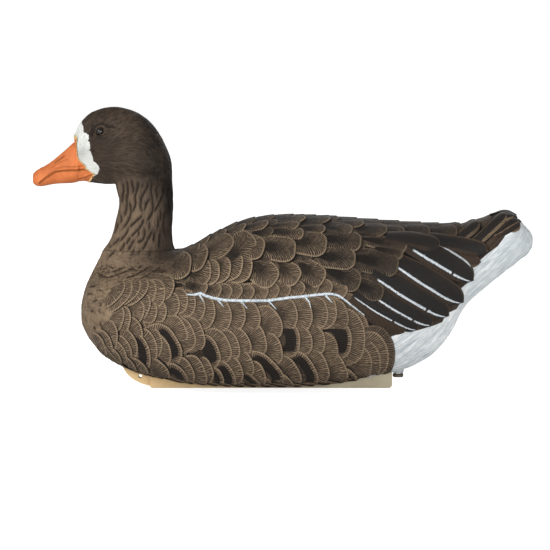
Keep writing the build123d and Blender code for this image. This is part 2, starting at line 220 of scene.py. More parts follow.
def make_mesh(name: str, points: Array, faces: Sequence[Sequence[int]]) -> Piece:
    """Links a smooth-shaded mesh whose object sits at the origin.

    Args:
        name: The piece's name.
        points: Vertices in millimetres.
        faces: Vertex numbers of each face, turning anticlockwise seen from outside.

    Returns:
        The new object.
    """
    mesh = bpy.data.meshes.new(name)
    mesh.from_pydata([tuple(p) for p in np.asarray(points) * MM], [], [tuple(f) for f in faces])
    mesh.polygons.foreach_set("use_smooth", [True] * len(mesh.polygons))
    mesh.update()
    return link_object(name, mesh)


def put_value(piece: Piece, name: str, values: Array) -> None:
    """Stores one number per vertex under a name that materials can read."""
    layer = piece.data.attributes.new(name, "FLOAT", "POINT")
    layer.data.foreach_set("value", np.asarray(values, np.float32))


def read_rows(items: bpy.types.bpy_prop_collection, kind: str) -> Array:
    """Reads three numbers from every item of a mesh.

    Args:
        items: Its vertices or normals.
        kind: What is read.

    Returns:
        One row each.
    """
    rows = np.zeros(len(items) * 3, np.float32)
    items.foreach_get(kind, rows)
    return rows.reshape(-1, 3)


def vertex_array(piece: Piece) -> Array:
    """The piece's vertices in millimetres, one row each."""
    return read_rows(piece.data.vertices, "co") / MM


def normal_array(piece: Piece) -> Array:
    """The piece's vertex normals, one row each."""
    return read_rows(piece.data.vertex_normals, "vector")


def set_vertices(piece: Piece, points: Array) -> None:
    """Puts the piece's vertices at rows in millimetres."""
    piece.data.vertices.foreach_set("co", (points * MM).astype(np.float32).ravel())
    piece.data.update()


def push(piece: Piece, heights: Array) -> None:
    """Moves each vertex along its normal by a height in millimetres."""
    set_vertices(piece, vertex_array(piece) + normal_array(piece) * heights[:, None])


def tree_of(node: str) -> BVHTree:
    """A search tree over a CAD node's faces, in millimetres."""
    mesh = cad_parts[node].data
    return BVHTree.FromPolygons([v.co / MM for v in mesh.vertices], [p.vertices[:] for p in mesh.polygons])


def finish_piece(piece: Piece, material: Material, body: str) -> None:
    """Dresses a piece, rides it on its body and reports it.

    Args:
        piece: The piece.
        material: Its finish.
        body: The body it moves with.
    """
    piece.data.materials.append(material)
    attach(piece, body)
    LOG.info("%s: %d faces", piece.name, len(piece.data.polygons))


# ---- finishes
@dataclass(frozen=True)
class Paint:
    """One matt colour, written as it should look (sRGB, 0 to 255)."""

    red: float
    green: float
    blue: float

    def linear(self) -> tuple[float, float, float, float]:
        """The colour as a shader reads it."""
        parts = (c / 255 for c in (self.red, self.green, self.blue))
        return (*(c / 12.92 if c <= 0.04045 else ((c + 0.055) / 1.055) ** 2.4 for c in parts), 1.0)


UMBER = Paint(46, 37, 30)
BARK = Paint(78, 64, 53)
HAZEL = Paint(127, 106, 86)
SAND = Paint(160, 138, 114)
STRAW = Paint(178, 155, 126)
SOOT = Paint(24, 23, 22)
PEAT = Paint(62, 54, 48)
FAWN = Paint(160, 138, 111)
ASHEN = Paint(76, 66, 58)
DUN = Paint(142, 122, 98)
CHALK = Paint(224, 226, 223)
SNOW = Paint(242, 244, 244)
FROST = Paint(186, 195, 200)
ORANGE = Paint(220, 128, 76)
RUST = Paint(140, 78, 36)
CREAM = Paint(232, 214, 150)
TAN = Paint(222, 192, 144)
KHAKI = Paint(182, 172, 148)
SLATE = Paint(57, 54, 52)
MILK = Paint(206, 213, 218)
PEWTER = Paint(140, 152, 162)
SHELL = Paint(196, 198, 192)
IVORY = Paint(229, 230, 224)
MIST = Paint(158, 168, 176)
COPPER = Paint(190, 106, 60)
HAZE = Paint(150, 164, 174)
PEARL = Paint(212, 220, 225)
STEEL = Paint(148, 150, 153)
BRIGHT_STEEL = Paint(196, 198, 200)
RUBBER = Paint(29, 28, 28)
BLOOM = Paint(58, 55, 52)
IRON = Paint(62, 64, 68)
PALE_IRON = Paint(104, 105, 108)
IRON_RUST = Paint(112, 72, 46)
PUPIL = Paint(14, 13, 14)
IRIS = Paint(40, 34, 30)
SOCKET_FRONT = Paint(66, 58, 50)
SOCKET_REAR = Paint(58, 51, 44)
PLUG_FRONT = Paint(96, 86, 72)
PLUG_REAR = Paint(90, 82, 70)

RIDGES = ((0.0, Paint(158, 137, 110)), (0.35, Paint(122, 104, 85)), (0.6, Paint(92, 78, 65)),
          (0.82, Paint(66, 55, 46)), (1.0, Paint(30, 27, 24)))
GROOVES = ((0.0, Paint(80, 64, 50)), (0.35, Paint(52, 42, 34)), (0.6, Paint(46, 38, 32)),
           (0.82, Paint(40, 33, 28)), (1.0, Paint(15, 14, 13)))


@dataclass(frozen=True)
class Wire:
    """A value in a shader tree; numbers add and multiply as they do on paper."""

    desk: "Desk"
    socket: Socket

    def __add__(self, other: object) -> "Wire":
        """The sum with another."""
        return self.desk.math("ADD", self, other)

    def __sub__(self, other: object) -> "Wire":
        """What is left when another is taken away."""
        return self.desk.math("SUBTRACT", self, other)

    def __mul__(self, other: object) -> "Wire":
        """The product with another."""
        return self.desk.math("MULTIPLY", self, other)

    def __truediv__(self, other: object) -> "Wire":
        """The share of another."""
        return self.desk.math("DIVIDE", self, other)

    def __abs__(self) -> "Wire":
        """The size without its sign."""
        return self.desk.math("ABSOLUTE", self)

    def flip(self) -> "Wire":
        """One minus the number."""
        return self.desk.math("SUBTRACT", 1.0, self)

    def clamp(self) -> "Wire":
        """The number held between 0 and 1."""
        return self.desk.math("ADD", self, 0.0, clamp=True)

    def step(self, low: float, high: float) -> "Wire":
        """Smooth step from 0 at low to 1 at high.

        Args:
            low: Where it starts, which may lie above where it ends.
            high: Where it ends.

        Returns:
            A number from 0 to 1.
        """
        node = self.desk.add("ShaderNodeMapRange", interpolation_type="SMOOTHSTEP")
        for name, given in (("Value", self), ("From Min", low), ("From Max", high)):
            self.desk.feed(node.inputs[name], given)
        return Wire(self.desk, node.outputs[0])


@dataclass(frozen=True)
class Desk:
    """Lays nodes in one shader tree."""

    tree: bpy.types.NodeTree

    def add(self, kind: str, **settings: object) -> bpy.types.Node:
        """A new node.

        Args:
            kind: The node's type.
            **settings: What is set on it.

        Returns:
            The node.
        """
        node = self.tree.nodes.new(kind)
        for key, value in settings.items():
            setattr(node, key, value)
        return node

    def feed(self, socket: Socket, value: object) -> None:
        """Fills an input.

        Args:
            socket: The input.
            value: A wire to link, or a paint or number to set.
        """
        if isinstance(value, Wire):
            self.tree.links.new(value.socket, socket)
        elif isinstance(value, Paint):
            socket.default_value = value.linear()
        else:
            socket.default_value = value

    def math(self, kind: str, *values: object, clamp: bool = False) -> Wire:
        """A sum of one kind.

        Args:
            kind: The math node's operation.
            *values: What goes in.
            clamp: Whether the result is held between 0 and 1.

        Returns:
            The result.
        """
        node = self.add("ShaderNodeMath", operation=kind, use_clamp=clamp)
        for socket, value in zip(node.inputs, values):
            self.feed(socket, value)
        return Wire(self, node.outputs[0])

    def mix(self, part: object, first: object, second: object) -> Wire:
        """A colour between two.

        Args:
            part: How much of the second, from 0 to 1.
            first: One paint or colour.
            second: The other.

        Returns:
            The mixed colour.
        """
        node = self.add("ShaderNodeMix", data_type="RGBA")
        for number, value in ((0, part), (6, first), (7, second)):
            self.feed(node.inputs[number], value)
        return Wire(self, node.outputs[2])

    def ramp(self, part: Wire, stops: Sequence[tuple[float, Paint]]) -> Wire:
        """A colour from stops.

        Args:
            part: Where on the ramp, from 0 to 1.
            stops: Pairs of place and paint.

        Returns:
            The colour.
        """
        node = self.add("ShaderNodeValToRGB")
        points = node.color_ramp.elements
        while len(points) < len(stops):
            points.new(0.5)
        for point, (place, paint) in zip(points, stops):
            point.position, point.color = place, paint.linear()
        self.feed(node.inputs[0], part)
        return Wire(self, node.outputs[0])

    def noise(self, place: Wire, scale: float, detail: float = 3.0, gain: float = 0.55) -> Wire:
        """Cloudy noise.

        Args:
            place: Where it is read.
            scale: How many lumps lie in one unit of the place.
            detail: How many finer layers it has.
            gain: How strong they are.

        Returns:
            A number from 0 to 1.
        """
        node = self.add("ShaderNodeTexNoise")
        for name, value in (("Vector", place), ("Scale", scale), ("Detail", detail), ("Roughness", gain)):
            self.feed(node.inputs[name], value)
        return Wire(self, node.outputs["Fac"])

    def values(self, *names: str) -> list[Wire]:
        """Numbers stored on the piece."""
        nodes = [self.add("ShaderNodeAttribute", attribute_name=name) for name in names]
        return [Wire(self, node.outputs["Fac"]) for node in nodes]

    def place(self) -> Wire:
        """Object coordinates, in metres."""
        return Wire(self, self.add("ShaderNodeTexCoord").outputs["Object"])

    def camera_ray(self) -> Wire:
        """1 where the camera looks straight at a surface, and 0 elsewhere."""
        return Wire(self, self.add("ShaderNodeLightPath").outputs["Is Camera Ray"])

    def vector(self, *parts: object) -> Wire:
        """A vector of three numbers.

        Args:
            *parts: The numbers.

        Returns:
            The vector.
        """
        node = self.add("ShaderNodeCombineXYZ")
        for socket, part in zip(node.inputs, parts):
            self.feed(socket, part)
        return Wire(self, node.outputs[0])

    def first_of(self, vector: Wire) -> Wire:
        """Splits a vector.

        Args:
            vector: The vector.

        Returns:
            Its first number.
        """
        node = self.add("ShaderNodeSeparateXYZ")
        self.feed(node.inputs[0], vector)
        return Wire(self, node.outputs[0])

    def call(self, group: bpy.types.NodeTree, **inputs: object) -> list[Wire]:
        """Places a node group.

        Args:
            group: The group.
            **inputs: What goes in, by name, with _ for a space.

        Returns:
            Its results, in order.
        """
        node = self.add("ShaderNodeGroup", node_tree=group)
        for name, value in inputs.items():
            self.feed(node.inputs[name.replace("_", " ")], value)
        return [Wire(self, output) for output in node.outputs]


def new_group(name: str, inputs: Sequence[str], outputs: Sequence[str]) -> tuple[Desk, list, list]:
    """An empty shader group of numbers.

    Args:
        name: The group's name.
        inputs: Names of the numbers that go in.
        outputs: Names of the numbers that come out.

    Returns:
        A desk on the group, its inputs as wires, and its outputs as sockets to feed.
    """
    tree = bpy.data.node_groups.new(name, "ShaderNodeTree")
    for way, names in (("INPUT", inputs), ("OUTPUT", outputs)):
        for given in names:
            tree.interface.new_socket(name=given, in_out=way, socket_type="NodeSocketFloat")
    desk = Desk(tree)
    entry, leave = desk.add("NodeGroupInput"), desk.add("NodeGroupOutput")
    wires = [Wire(desk, entry.outputs[given]) for given in inputs]
    return desk, wires, [leave.inputs[given] for given in outputs]


def barb_group() -> bpy.types.NodeTree:
    """Barbs that run square to a feather's rim, from two measures and a pitch in millimetres.

    Returns:
        The group.
    """
    desk, (along, from_rim, pitch), (ridge_out, rim_out, crevice_shade_out) = new_group(
        "barb_lines", ("Along", "From Rim", "Pitch"), ("Ridge", "Rim", "Gap"))
    place = desk.place()
    bent = desk.noise(place, 70.0, 2.0) * 2.4 + along / pitch
    ridge = desk.math("SINE", bent * (2 * math.pi)).step(-0.5, 0.35)
    worn = desk.noise(place, 260.0, 2.0).step(0.34, 0.6) * 0.3 + 0.7
    depth = from_rim + (desk.noise(place, 300.0, 2.0) * 1.2 - 0.6)
    desk.feed(ridge_out, ridge * worn)
    desk.feed(rim_out, depth.step(2.3, 1.0) * (ridge * 0.35 + 0.65))
    # Gap is 1 on the skirt past a feather's rim; the paints make it near black, as painted shade in the
    # crevice.
    desk.feed(crevice_shade_out, from_rim.step(-0.12, -0.4))
    return desk.tree


def mottle_group() -> bpy.types.NodeTree:
    """Brushed paint: broad patches and fine grain.

    Returns:
        The group.
    """
    desk, (amount,), (patch_out, grain_out) = new_group("brushed_paint", ("Amount",), ("Patch", "Grain"))
    place = desk.place()
    desk.feed(patch_out, (desk.noise(place, 26.0, 4.0, 0.6) - 0.5) * amount)
    desk.feed(grain_out, desk.noise(place, 900.0, 2.0))
    return desk.tree


@dataclass(frozen=True)
class Finish:
    """A matt painted plastic; each kind of surface has its name and lays its own pattern in paint()."""

    groups: dict[str, bpy.types.NodeTree]
    specular = 0.12
    metallic = 0.0

    def paint(self, desk: Desk) -> Look:
        """Lays the pattern.

        Args:
            desk: The material's own desk.

        Returns:
            Base colour, bump height in millimetres, and roughness.
        """
        raise NotImplementedError

    def build(self) -> Material:
        """Lays the pattern in a new material.

        Returns:
            The finished material.
        """
        material = bpy.data.materials.new(self.name)
        material.use_nodes = True
        desk = Desk(material.node_tree)
        shader = material.node_tree.nodes["Principled BSDF"].inputs
        colour, height, roughness = self.paint(desk)
        for name, value in (("Base Color", colour), ("Roughness", roughness), ("Metallic", self.metallic),
                            ("Specular IOR Level", self.specular)):
            desk.feed(shader[name], value)
        if height is not None:
            bump = desk.add("ShaderNodeBump")
            for name, value in (("Strength", 1.0), ("Distance", MM), ("Height", height)):
                desk.feed(bump.inputs[name], value)
            desk.feed(shader["Normal"], Wire(desk, bump.outputs["Normal"]))
        return material


class FeatherPaint(Finish):
    """Body feathers: pale dry-brushed rim and barbs over brown, some with a black bar."""

    name = "feather_paint"

    def paint(self, desk: Desk) -> Look:
        """Barbs and rim from the feather's own measures, tone from its stored numbers.

        Args:
            desk: The material's own desk.

        Returns:
            Base colour, bump height in millimetres, and roughness.
        """
        depth, tone, bar, glow, show = desk.values("rim_mm", "tone", "bar", "glow", "show_mm")
        along, across, across_mm, shaft = desk.values("along_mm", "across", "across_mm", "shaft")
        ridge, rim, gap = desk.call(self.groups["barbs"], Along=along, From_Rim=depth, Pitch=2.75)
        patch, grain = desk.call(self.groups["mottle"], Amount=1.0)
        part = depth / show
        shade = (tone + patch).clamp()
        # Painted shade: each feather darkens towards its root, where the feather above would shade it.
        deep = part.step(0.3, 1.1) * (shade * 0.6 + 0.25)
        spread = desk.vector(along * 0.5, depth * 0.12, glow * 13.0)
        clump = desk.noise(spread, 1.0, 2.0).step(0.4, 0.6) * 0.6 + 0.4
        ridged = desk.mix(deep, desk.mix(shade, FAWN, ASHEN), desk.mix(shade, HAZEL, PEAT))
        dry_brushed = part.step(0.1, 0.9).flip() * glow
        ridged = desk.mix(dry_brushed * 0.75 + 0.08, ridged, SAND)
        # The grooves between barbs take the painted root shade as well.
        groove_dark_and_root_shade = (deep * 0.6 + (shade * 0.65 + 0.22)).clamp()
        lined = desk.mix(ridge * clump, desk.mix(groove_dark_and_root_shade, BARK, SOOT), ridged)
        # Painted shadow: a dark band just outside the rim of the feather above.
        lined = desk.mix(part.step(0.7, 1.1) * (shade * 0.4 + 0.2), lined, SOOT)
        lined = desk.mix(abs(across_mm).step(0.8, 0.3) * shaft * 0.5, lined, UMBER)
        rimmed = desk.mix(rim * (glow * 0.58 + 0.12), lined, STRAW)
        middle = (bar - depth).step(-5.2, -3.8) * abs(across).step(0.76, 0.58)
        black = bar.step(1.0, 3.0) * depth.step(4.0, 4.9) * middle
        barred = desk.mix(black, rimmed, desk.mix(ridge * 0.3, SOOT, BARK))
        relief = rim * 0.25 + ridge * clump * 0.8
        # Painted shade: the skirt past the rim is near black, as the shadowed crevice under it.
        return desk.mix(gap, barred, SOOT), relief, grain * 0.2 + 0.55


class QuillPaint(Finish):
    """Long feathers: sooty blade, white line, and a brown or tan strip along the lower edge."""

    name = "quill_paint"

    def paint(self, desk: Desk) -> Look:
        """Line and strip from the blade's own measures.

        Args:
            desk: The material's own desk.

        Returns:
            Base colour, bump height in millimetres, and roughness.
        """
        along, across, tip, depth = desk.values("along_mm", "across", "tip_mm", "rim_mm")
        strip, dark, gap_at, line_end, upper = desk.values("strip", "tone", "gap_mm", "line_mm", "upper_line")
        ridge, rim, gap = desk.call(self.groups["barbs"], Along=along, From_Rim=depth, Pitch=2.0)
        patch, grain = desk.call(self.groups["mottle"], Amount=0.8)
        below = (patch * 0.2 + across).step(-0.5, -0.58)
        strip_tone = desk.mix(strip, desk.mix(ridge, SOOT, BARK), desk.mix(ridge, BARK, DUN))
        brown = desk.mix(ridge * 0.7, UMBER, BARK)
        warm = (patch * 0.8 + across).step(0.2, 0.95)
        sooty = desk.mix(warm * 0.3, desk.mix(ridge * 0.75, SOOT, SLATE), desk.mix(ridge, UMBER, BARK))
        reach = desk.math("MAXIMUM", tip.step(8.0, 15.0), strip)
        base = desk.mix(below * reach, desk.mix(dark, brown, sooty), strip_tone)
        edged = desk.mix(rim * below.flip() * 0.3, base, HAZEL)
        ticks = desk.noise(desk.place(), 620.0, 2.0).step(0.34, 0.5)
        lower = across + (ticks * 0.07 - 0.05)
        band = lower.step(-0.43, -0.47) * lower.step(-0.65, -0.61)
        past = tip - gap_at
        unbroken = (past.step(-0.4, 0.2) * past.step(3.0, 2.4)).flip()
        line = band * unbroken * (line_end - tip).step(0.0, 4.0) * tip.step(2.5, 4.5)
        top = lower.step(0.84, 0.88) * upper * tip.step(58.0, 50.0) * tip.step(9.0, 13.0)
        white = desk.mix(ticks.flip() * 0.6, MILK, PEWTER)
        lined = desk.mix(desk.math("MAXIMUM", line, top * 0.8), edged, white)
        # Painted shade: the skirt past the rim is near black, as the shadowed crevice under it.
        return desk.mix(gap, lined, SOOT), ridge * 0.35, grain * 0.2 + 0.46


class SkinPaint(Finish):
    """Moulded skin of hull, neck and head: pale ridges, dark grooves, fine strokes, white patches."""

    name = "skin_paint"

    def paint(self, desk: Desk) -> Look:
        """Brown by tone and relief; white where the stored distance is positive.

        Args:
            desk: The material's own desk.

        Returns:
            Base colour, bump height in millimetres, and roughness.
        """
        relief, dark, white, cool = desk.values("relief", "tone", "white_mm", "cool")
        u, w, creased = desk.values("flow_u", "flow_w", "crease")
        patch, grain = desk.call(self.groups["mottle"], Amount=0.55)
        strokes = desk.noise(desk.vector(u * 0.12, w, 0.0), 0.75, 3.0, 0.62)
        stroke = strokes.step(0.38, 0.62)
        wave = desk.noise(desk.vector(u * 0.055, w * 0.3, 0.0), 1.0, 3.0, 0.5)
        broken = desk.noise(desk.place(), 90.0, 2.0).step(0.3, 0.6)
        crease = abs(wave - 0.5).step(0.07, 0.015) * broken * creased
        # relief also carries painted light and shade: slopes turned forwards and up towards the key lamp are
        # lighter, those turned away darker.
        level = stroke * 0.2 + relief * 0.9 - crease * 0.5
        tone = (dark + patch).clamp()
        brown = desk.mix(level.step(0.1, 1.0), desk.ramp(tone, GROOVES), desk.ramp(tone, RIDGES))
        cold = desk.mix((stroke * 0.12 + relief).step(0.3, 1.0), FROST, SNOW)
        warm = desk.mix(stroke.step(-0.3, 0.5), SHELL, IVORY)
        pale = desk.mix(crease * 0.8, desk.mix(cool, warm, cold), MIST)
        edge = white + (strokes * 3.0 - 1.5) * cool.flip()
        colour = desk.mix(edge.step(-0.3, 0.3), brown, pale)
        return colour, stroke * 0.32 - crease * 0.5, grain * 0.2 + 0.5


class BillPaint(Finish):
    """Orange bill, rust-brown along its folds partly in paint and partly as painted shade in the creases,
    with a touch of cream at the base.
    """

    name = "bill_paint"

    def paint(self, desk: Desk) -> Look:
        """Folds from their stored depth.

        Args:
            desk: The material's own desk.

        Returns:
            Base colour, bump height in millimetres, and roughness.
        """
        fold, base = desk.values("fold", "base_mm")
        place = desk.place()
        warm = desk.mix(desk.noise(place, 70.0, 4.0).step(0.3, 0.8), COPPER, ORANGE)
        folded = desk.mix(fold.step(0.05, 0.75), warm, RUST)
        fine = desk.noise(place, 900.0, 2.0)
        return desk.mix(base.step(1.6, 0.2) * 0.65, folded, CREAM), fine * 0.1, fine * 0.2 + 0.42


@dataclass(frozen=True)
class MouldedPaint(Finish):
    """Moulded plastic that shades from front to rear colour along the object, with fine grain and scuffs."""

    name: str
    colours: tuple[Paint, Paint]
    ends_mm: tuple[float, float]

    def paint(self, desk: Desk) -> Look:
        """Shade by X, mottle and scuffs by noise.

        Args:
            desk: The material's own desk.

        Returns:
            Base colour, bump height in millimetres, and roughness.
        """
        place = desk.place()
        run = desk.first_of(place).step(self.ends_mm[0] * MM, self.ends_mm[1] * MM)
        cloud = desk.noise(place, 30.0, 5.0)
        worn = desk.mix(cloud.step(0.45, 0.78) * 0.16, desk.mix(run, *self.colours), UMBER)
        scuffs = desk.noise(place, 210.0, 6.0, 0.75).step(0.62, 0.74)
        grain = desk.noise(place, 1400.0, 2.0)
        return desk.mix(scuffs * 0.25, worn, CHALK), grain * 0.12, cloud * 0.25 + 0.42


class LinePaint(Finish):
    """A chalky white line of brushed paint."""

    name = "chalk_line"

    def paint(self, desk: Desk) -> Look:
        """White with brushed streaks."""
        streak = desk.noise(desk.place(), 500.0, 3.0)
        return desk.mix(streak.step(0.34, 0.56), HAZE, PEARL), streak * 0.3, 0.6


class SteelPaint(Finish):
    """Stainless steel with turned marks."""

    name = "stainless_steel"
    specular = 0.5
    metallic = 1.0

    def paint(self, desk: Desk) -> Look:
        """Grey steel, a little clouded."""
        cloud, marks = desk.noise(desk.place(), 160.0, 4.0), desk.noise(desk.place(), 1500.0, 2.0)
        return desk.mix(cloud, STEEL, BRIGHT_STEEL), marks * 0.05, marks * 0.2 + 0.25


class RubberPaint(Finish):
    """Black seal rubber with a dusty bloom."""

    name = "seal_rubber"

    def paint(self, desk: Desk) -> Look:
        """Near black, paler where the bloom lies."""
        bloom, grain = desk.noise(desk.place(), 120.0, 5.0, 0.65), desk.noise(desk.place(), 1300.0, 2.0)
        return desk.mix(bloom.step(0.4, 0.75), RUBBER, BLOOM), grain * 0.08, bloom * 0.2 + 0.6


class CastIron(Finish):
    """Sand-cast iron ballast with rust in its hollows."""

    name = "cast_iron"

    def paint(self, desk: Desk) -> Look:
        """Blue-grey iron, brown in patches, with a cast skin."""
        cloud, skin = desk.noise(desk.place(), 60.0, 6.0, 0.7), desk.noise(desk.place(), 520.0, 4.0, 0.6)
        rusty = desk.mix(cloud.step(0.52, 0.72), desk.mix(skin, IRON, PALE_IRON), IRON_RUST)
        return rusty, skin * 0.5, skin * 0.25 + 0.55


class EyeGloss(Finish):
    """Polished dark acrylic."""

    name = "eye_gloss"
    specular = 0.6

    def paint(self, desk: Desk) -> Look:
        """Near-black brown with a faint cloud."""
        return desk.mix(desk.noise(desk.place(), 400.0, 2.0) * 0.5, PUPIL, IRIS), None, 0.08


# ---- the hull as a chart
@dataclass
class HullChart:
    """Places on the hull by run (mm back from the front of the spine) and turn (degrees from the top)."""

    spine_x: float = -150.0
    spine_z: float = 95.0
    nose_reach: float = 95.0
    tail_rise: float = 83.0
    tail_from: float = 60.0
    tail_run: float = 240.0
    far: float = 420.0
    runs: int = 460
    turns: int = 420
    tree: BVHTree = field(init=False)
    grid: Array = field(init=False)
    skin: BVHTree = field(init=False)

    def __post_init__(self) -> None:
        """Casts the grid on the hull's outside."""
        self.tree = tree_of("body_shell")
        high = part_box("body_shell")[1]
        self.first = -self.nose_reach * math.pi / 2
        self.last = high.x / MM - self.spine_x - 0.4
        turns = np.linspace(-180, 180, self.turns, endpoint=False)
        self.grid = np.array([[self.cast(run, turn) for turn in turns] for run in self.run_marks()])
        self.skin = self.search_tree(2)

    def run_marks(self) -> Array:
        """The grid's runs."""
        return np.linspace(self.first, self.last, self.runs)

    def ray(self, run: float, turn: float) -> tuple[Vector, Vector]:
        """Where a place is cast from.

        Args:
            run: Millimetres back from the front of the spine.
            turn: Degrees from the top.

        Returns:
            The spine point and the outward direction.
        """
        angle = math.radians(turn)
        out = Vector((0, -math.sin(angle), math.cos(angle)))
        x = self.spine_x + max(run, 0.0)
        part = min(max((x - self.tail_from) / self.tail_run, 0), 1)
        centre = Vector((x, 0, self.spine_z + self.tail_rise * part * part * (3 - 2 * part)))
        if run < 0:
            dip = -run / self.nose_reach
            out = out * math.cos(dip) + Vector((-1, 0, 0)) * math.sin(dip)
        return centre, out

    def cast(self, run: float, turn: float) -> tuple[float, float, float]:
        """Looks for the outside surface.

        Args:
            run: Millimetres back from the front of the spine.
            turn: Degrees from the top.

        Returns:
            Where it is, or the spine where there is none.
        """
        centre, out = self.ray(run, turn)
        hit = self.tree.ray_cast(centre + out * self.far, -out)[0]
        return tuple(hit if hit else centre)

    def search_tree(self, stride: int) -> BVHTree:
        """A search tree over the cast outside only."""
        part = self.grid[::stride, ::stride]
        return BVHTree.FromPolygons([tuple(p) for p in part.reshape(-1, 3)], tube_faces(*part.shape[:2]))

    def point(self, run: float, turn: float) -> Vector:
        """A place on the hull."""
        return Vector(self.cast(run, turn))

    def sight(self, x: float, level: float, side: Side) -> Vector:
        """The hull where the drawing's eye sees a place.

        Args:
            x: Place along the bird on the drawing.
            level: Height on the drawing.
            side: Which flank.

        Returns:
            The point in millimetres.
        """
        eye = DRAWING.eye(side)
        hit = self.skin.ray_cast(eye, (Vector((x, 0, level)) - eye).normalized())[0]
        return hit if hit is not None else self.skin.find_nearest(Vector((x, 0, level)))[0]

    def on_tangent(self, spot: Vector, heading: Vector, hand: int = 1) -> Placer:
        """Places a feather's points on the hull from the plane that touches it at a spot.

        Args:
            spot: Where the feather's tip is.
            heading: The way it points.
            hand: 1, or -1 to turn the feather over from side to side.

        Returns:
            A function from millimetres ahead of the tip and aside of it to a point on the hull.
        """
        normal = self.outward(spot)
        ahead = (heading - normal * heading.dot(normal)).normalized()
        aside = normal.cross(ahead) * hand
        return lambda forward, across: self.skin.find_nearest(spot + ahead * forward + aside * across)[0]

    def on_drawing(self, x: float, level: float, angle: float, side: Side) -> Placer:
        """Places a feather's points where the drawing's eye sees them, from its tip and its angle."""
        c, s = math.cos(math.radians(angle)), math.sin(math.radians(angle))
        return lambda ahead, up: self.sight(x + c * ahead - s * up, level + s * ahead + c * up, side)

    def outward(self, point: Vector) -> Vector:
        """The outward normal nearest a point.

        Args:
            point: A place in millimetres.

        Returns:
            The normal.
        """
        place, normal = self.skin.find_nearest(point)[:2]
        spine = Vector((min(max(place.x, self.spine_x), 260.0), 0, 0))
        spine.z = self.ray(spine.x - self.spine_x, 0.0)[0].z
        return normal if normal.dot(place - spine) > 0 else -normal


# ---- feathers
@dataclass
class Feather:
    """One feather: size in millimetres and its paint."""

    length: float
    width: float
    lift: float = 2.4
    sink: float = 1.4
    droop: float = 1.2
    square: float = 2.3
    base: float = 0.0
    tone: float = 0.3
    glow: float = 0.6
    bar: float = 0.0
    show: float = 14.0
    shaft: float = 0.0
    strip: float = 0.0
    line: float = 0.0
    gap: float = 200.0
    upper: float = 0.0
    bend: float = 0.0
    blunt: float = 0.52


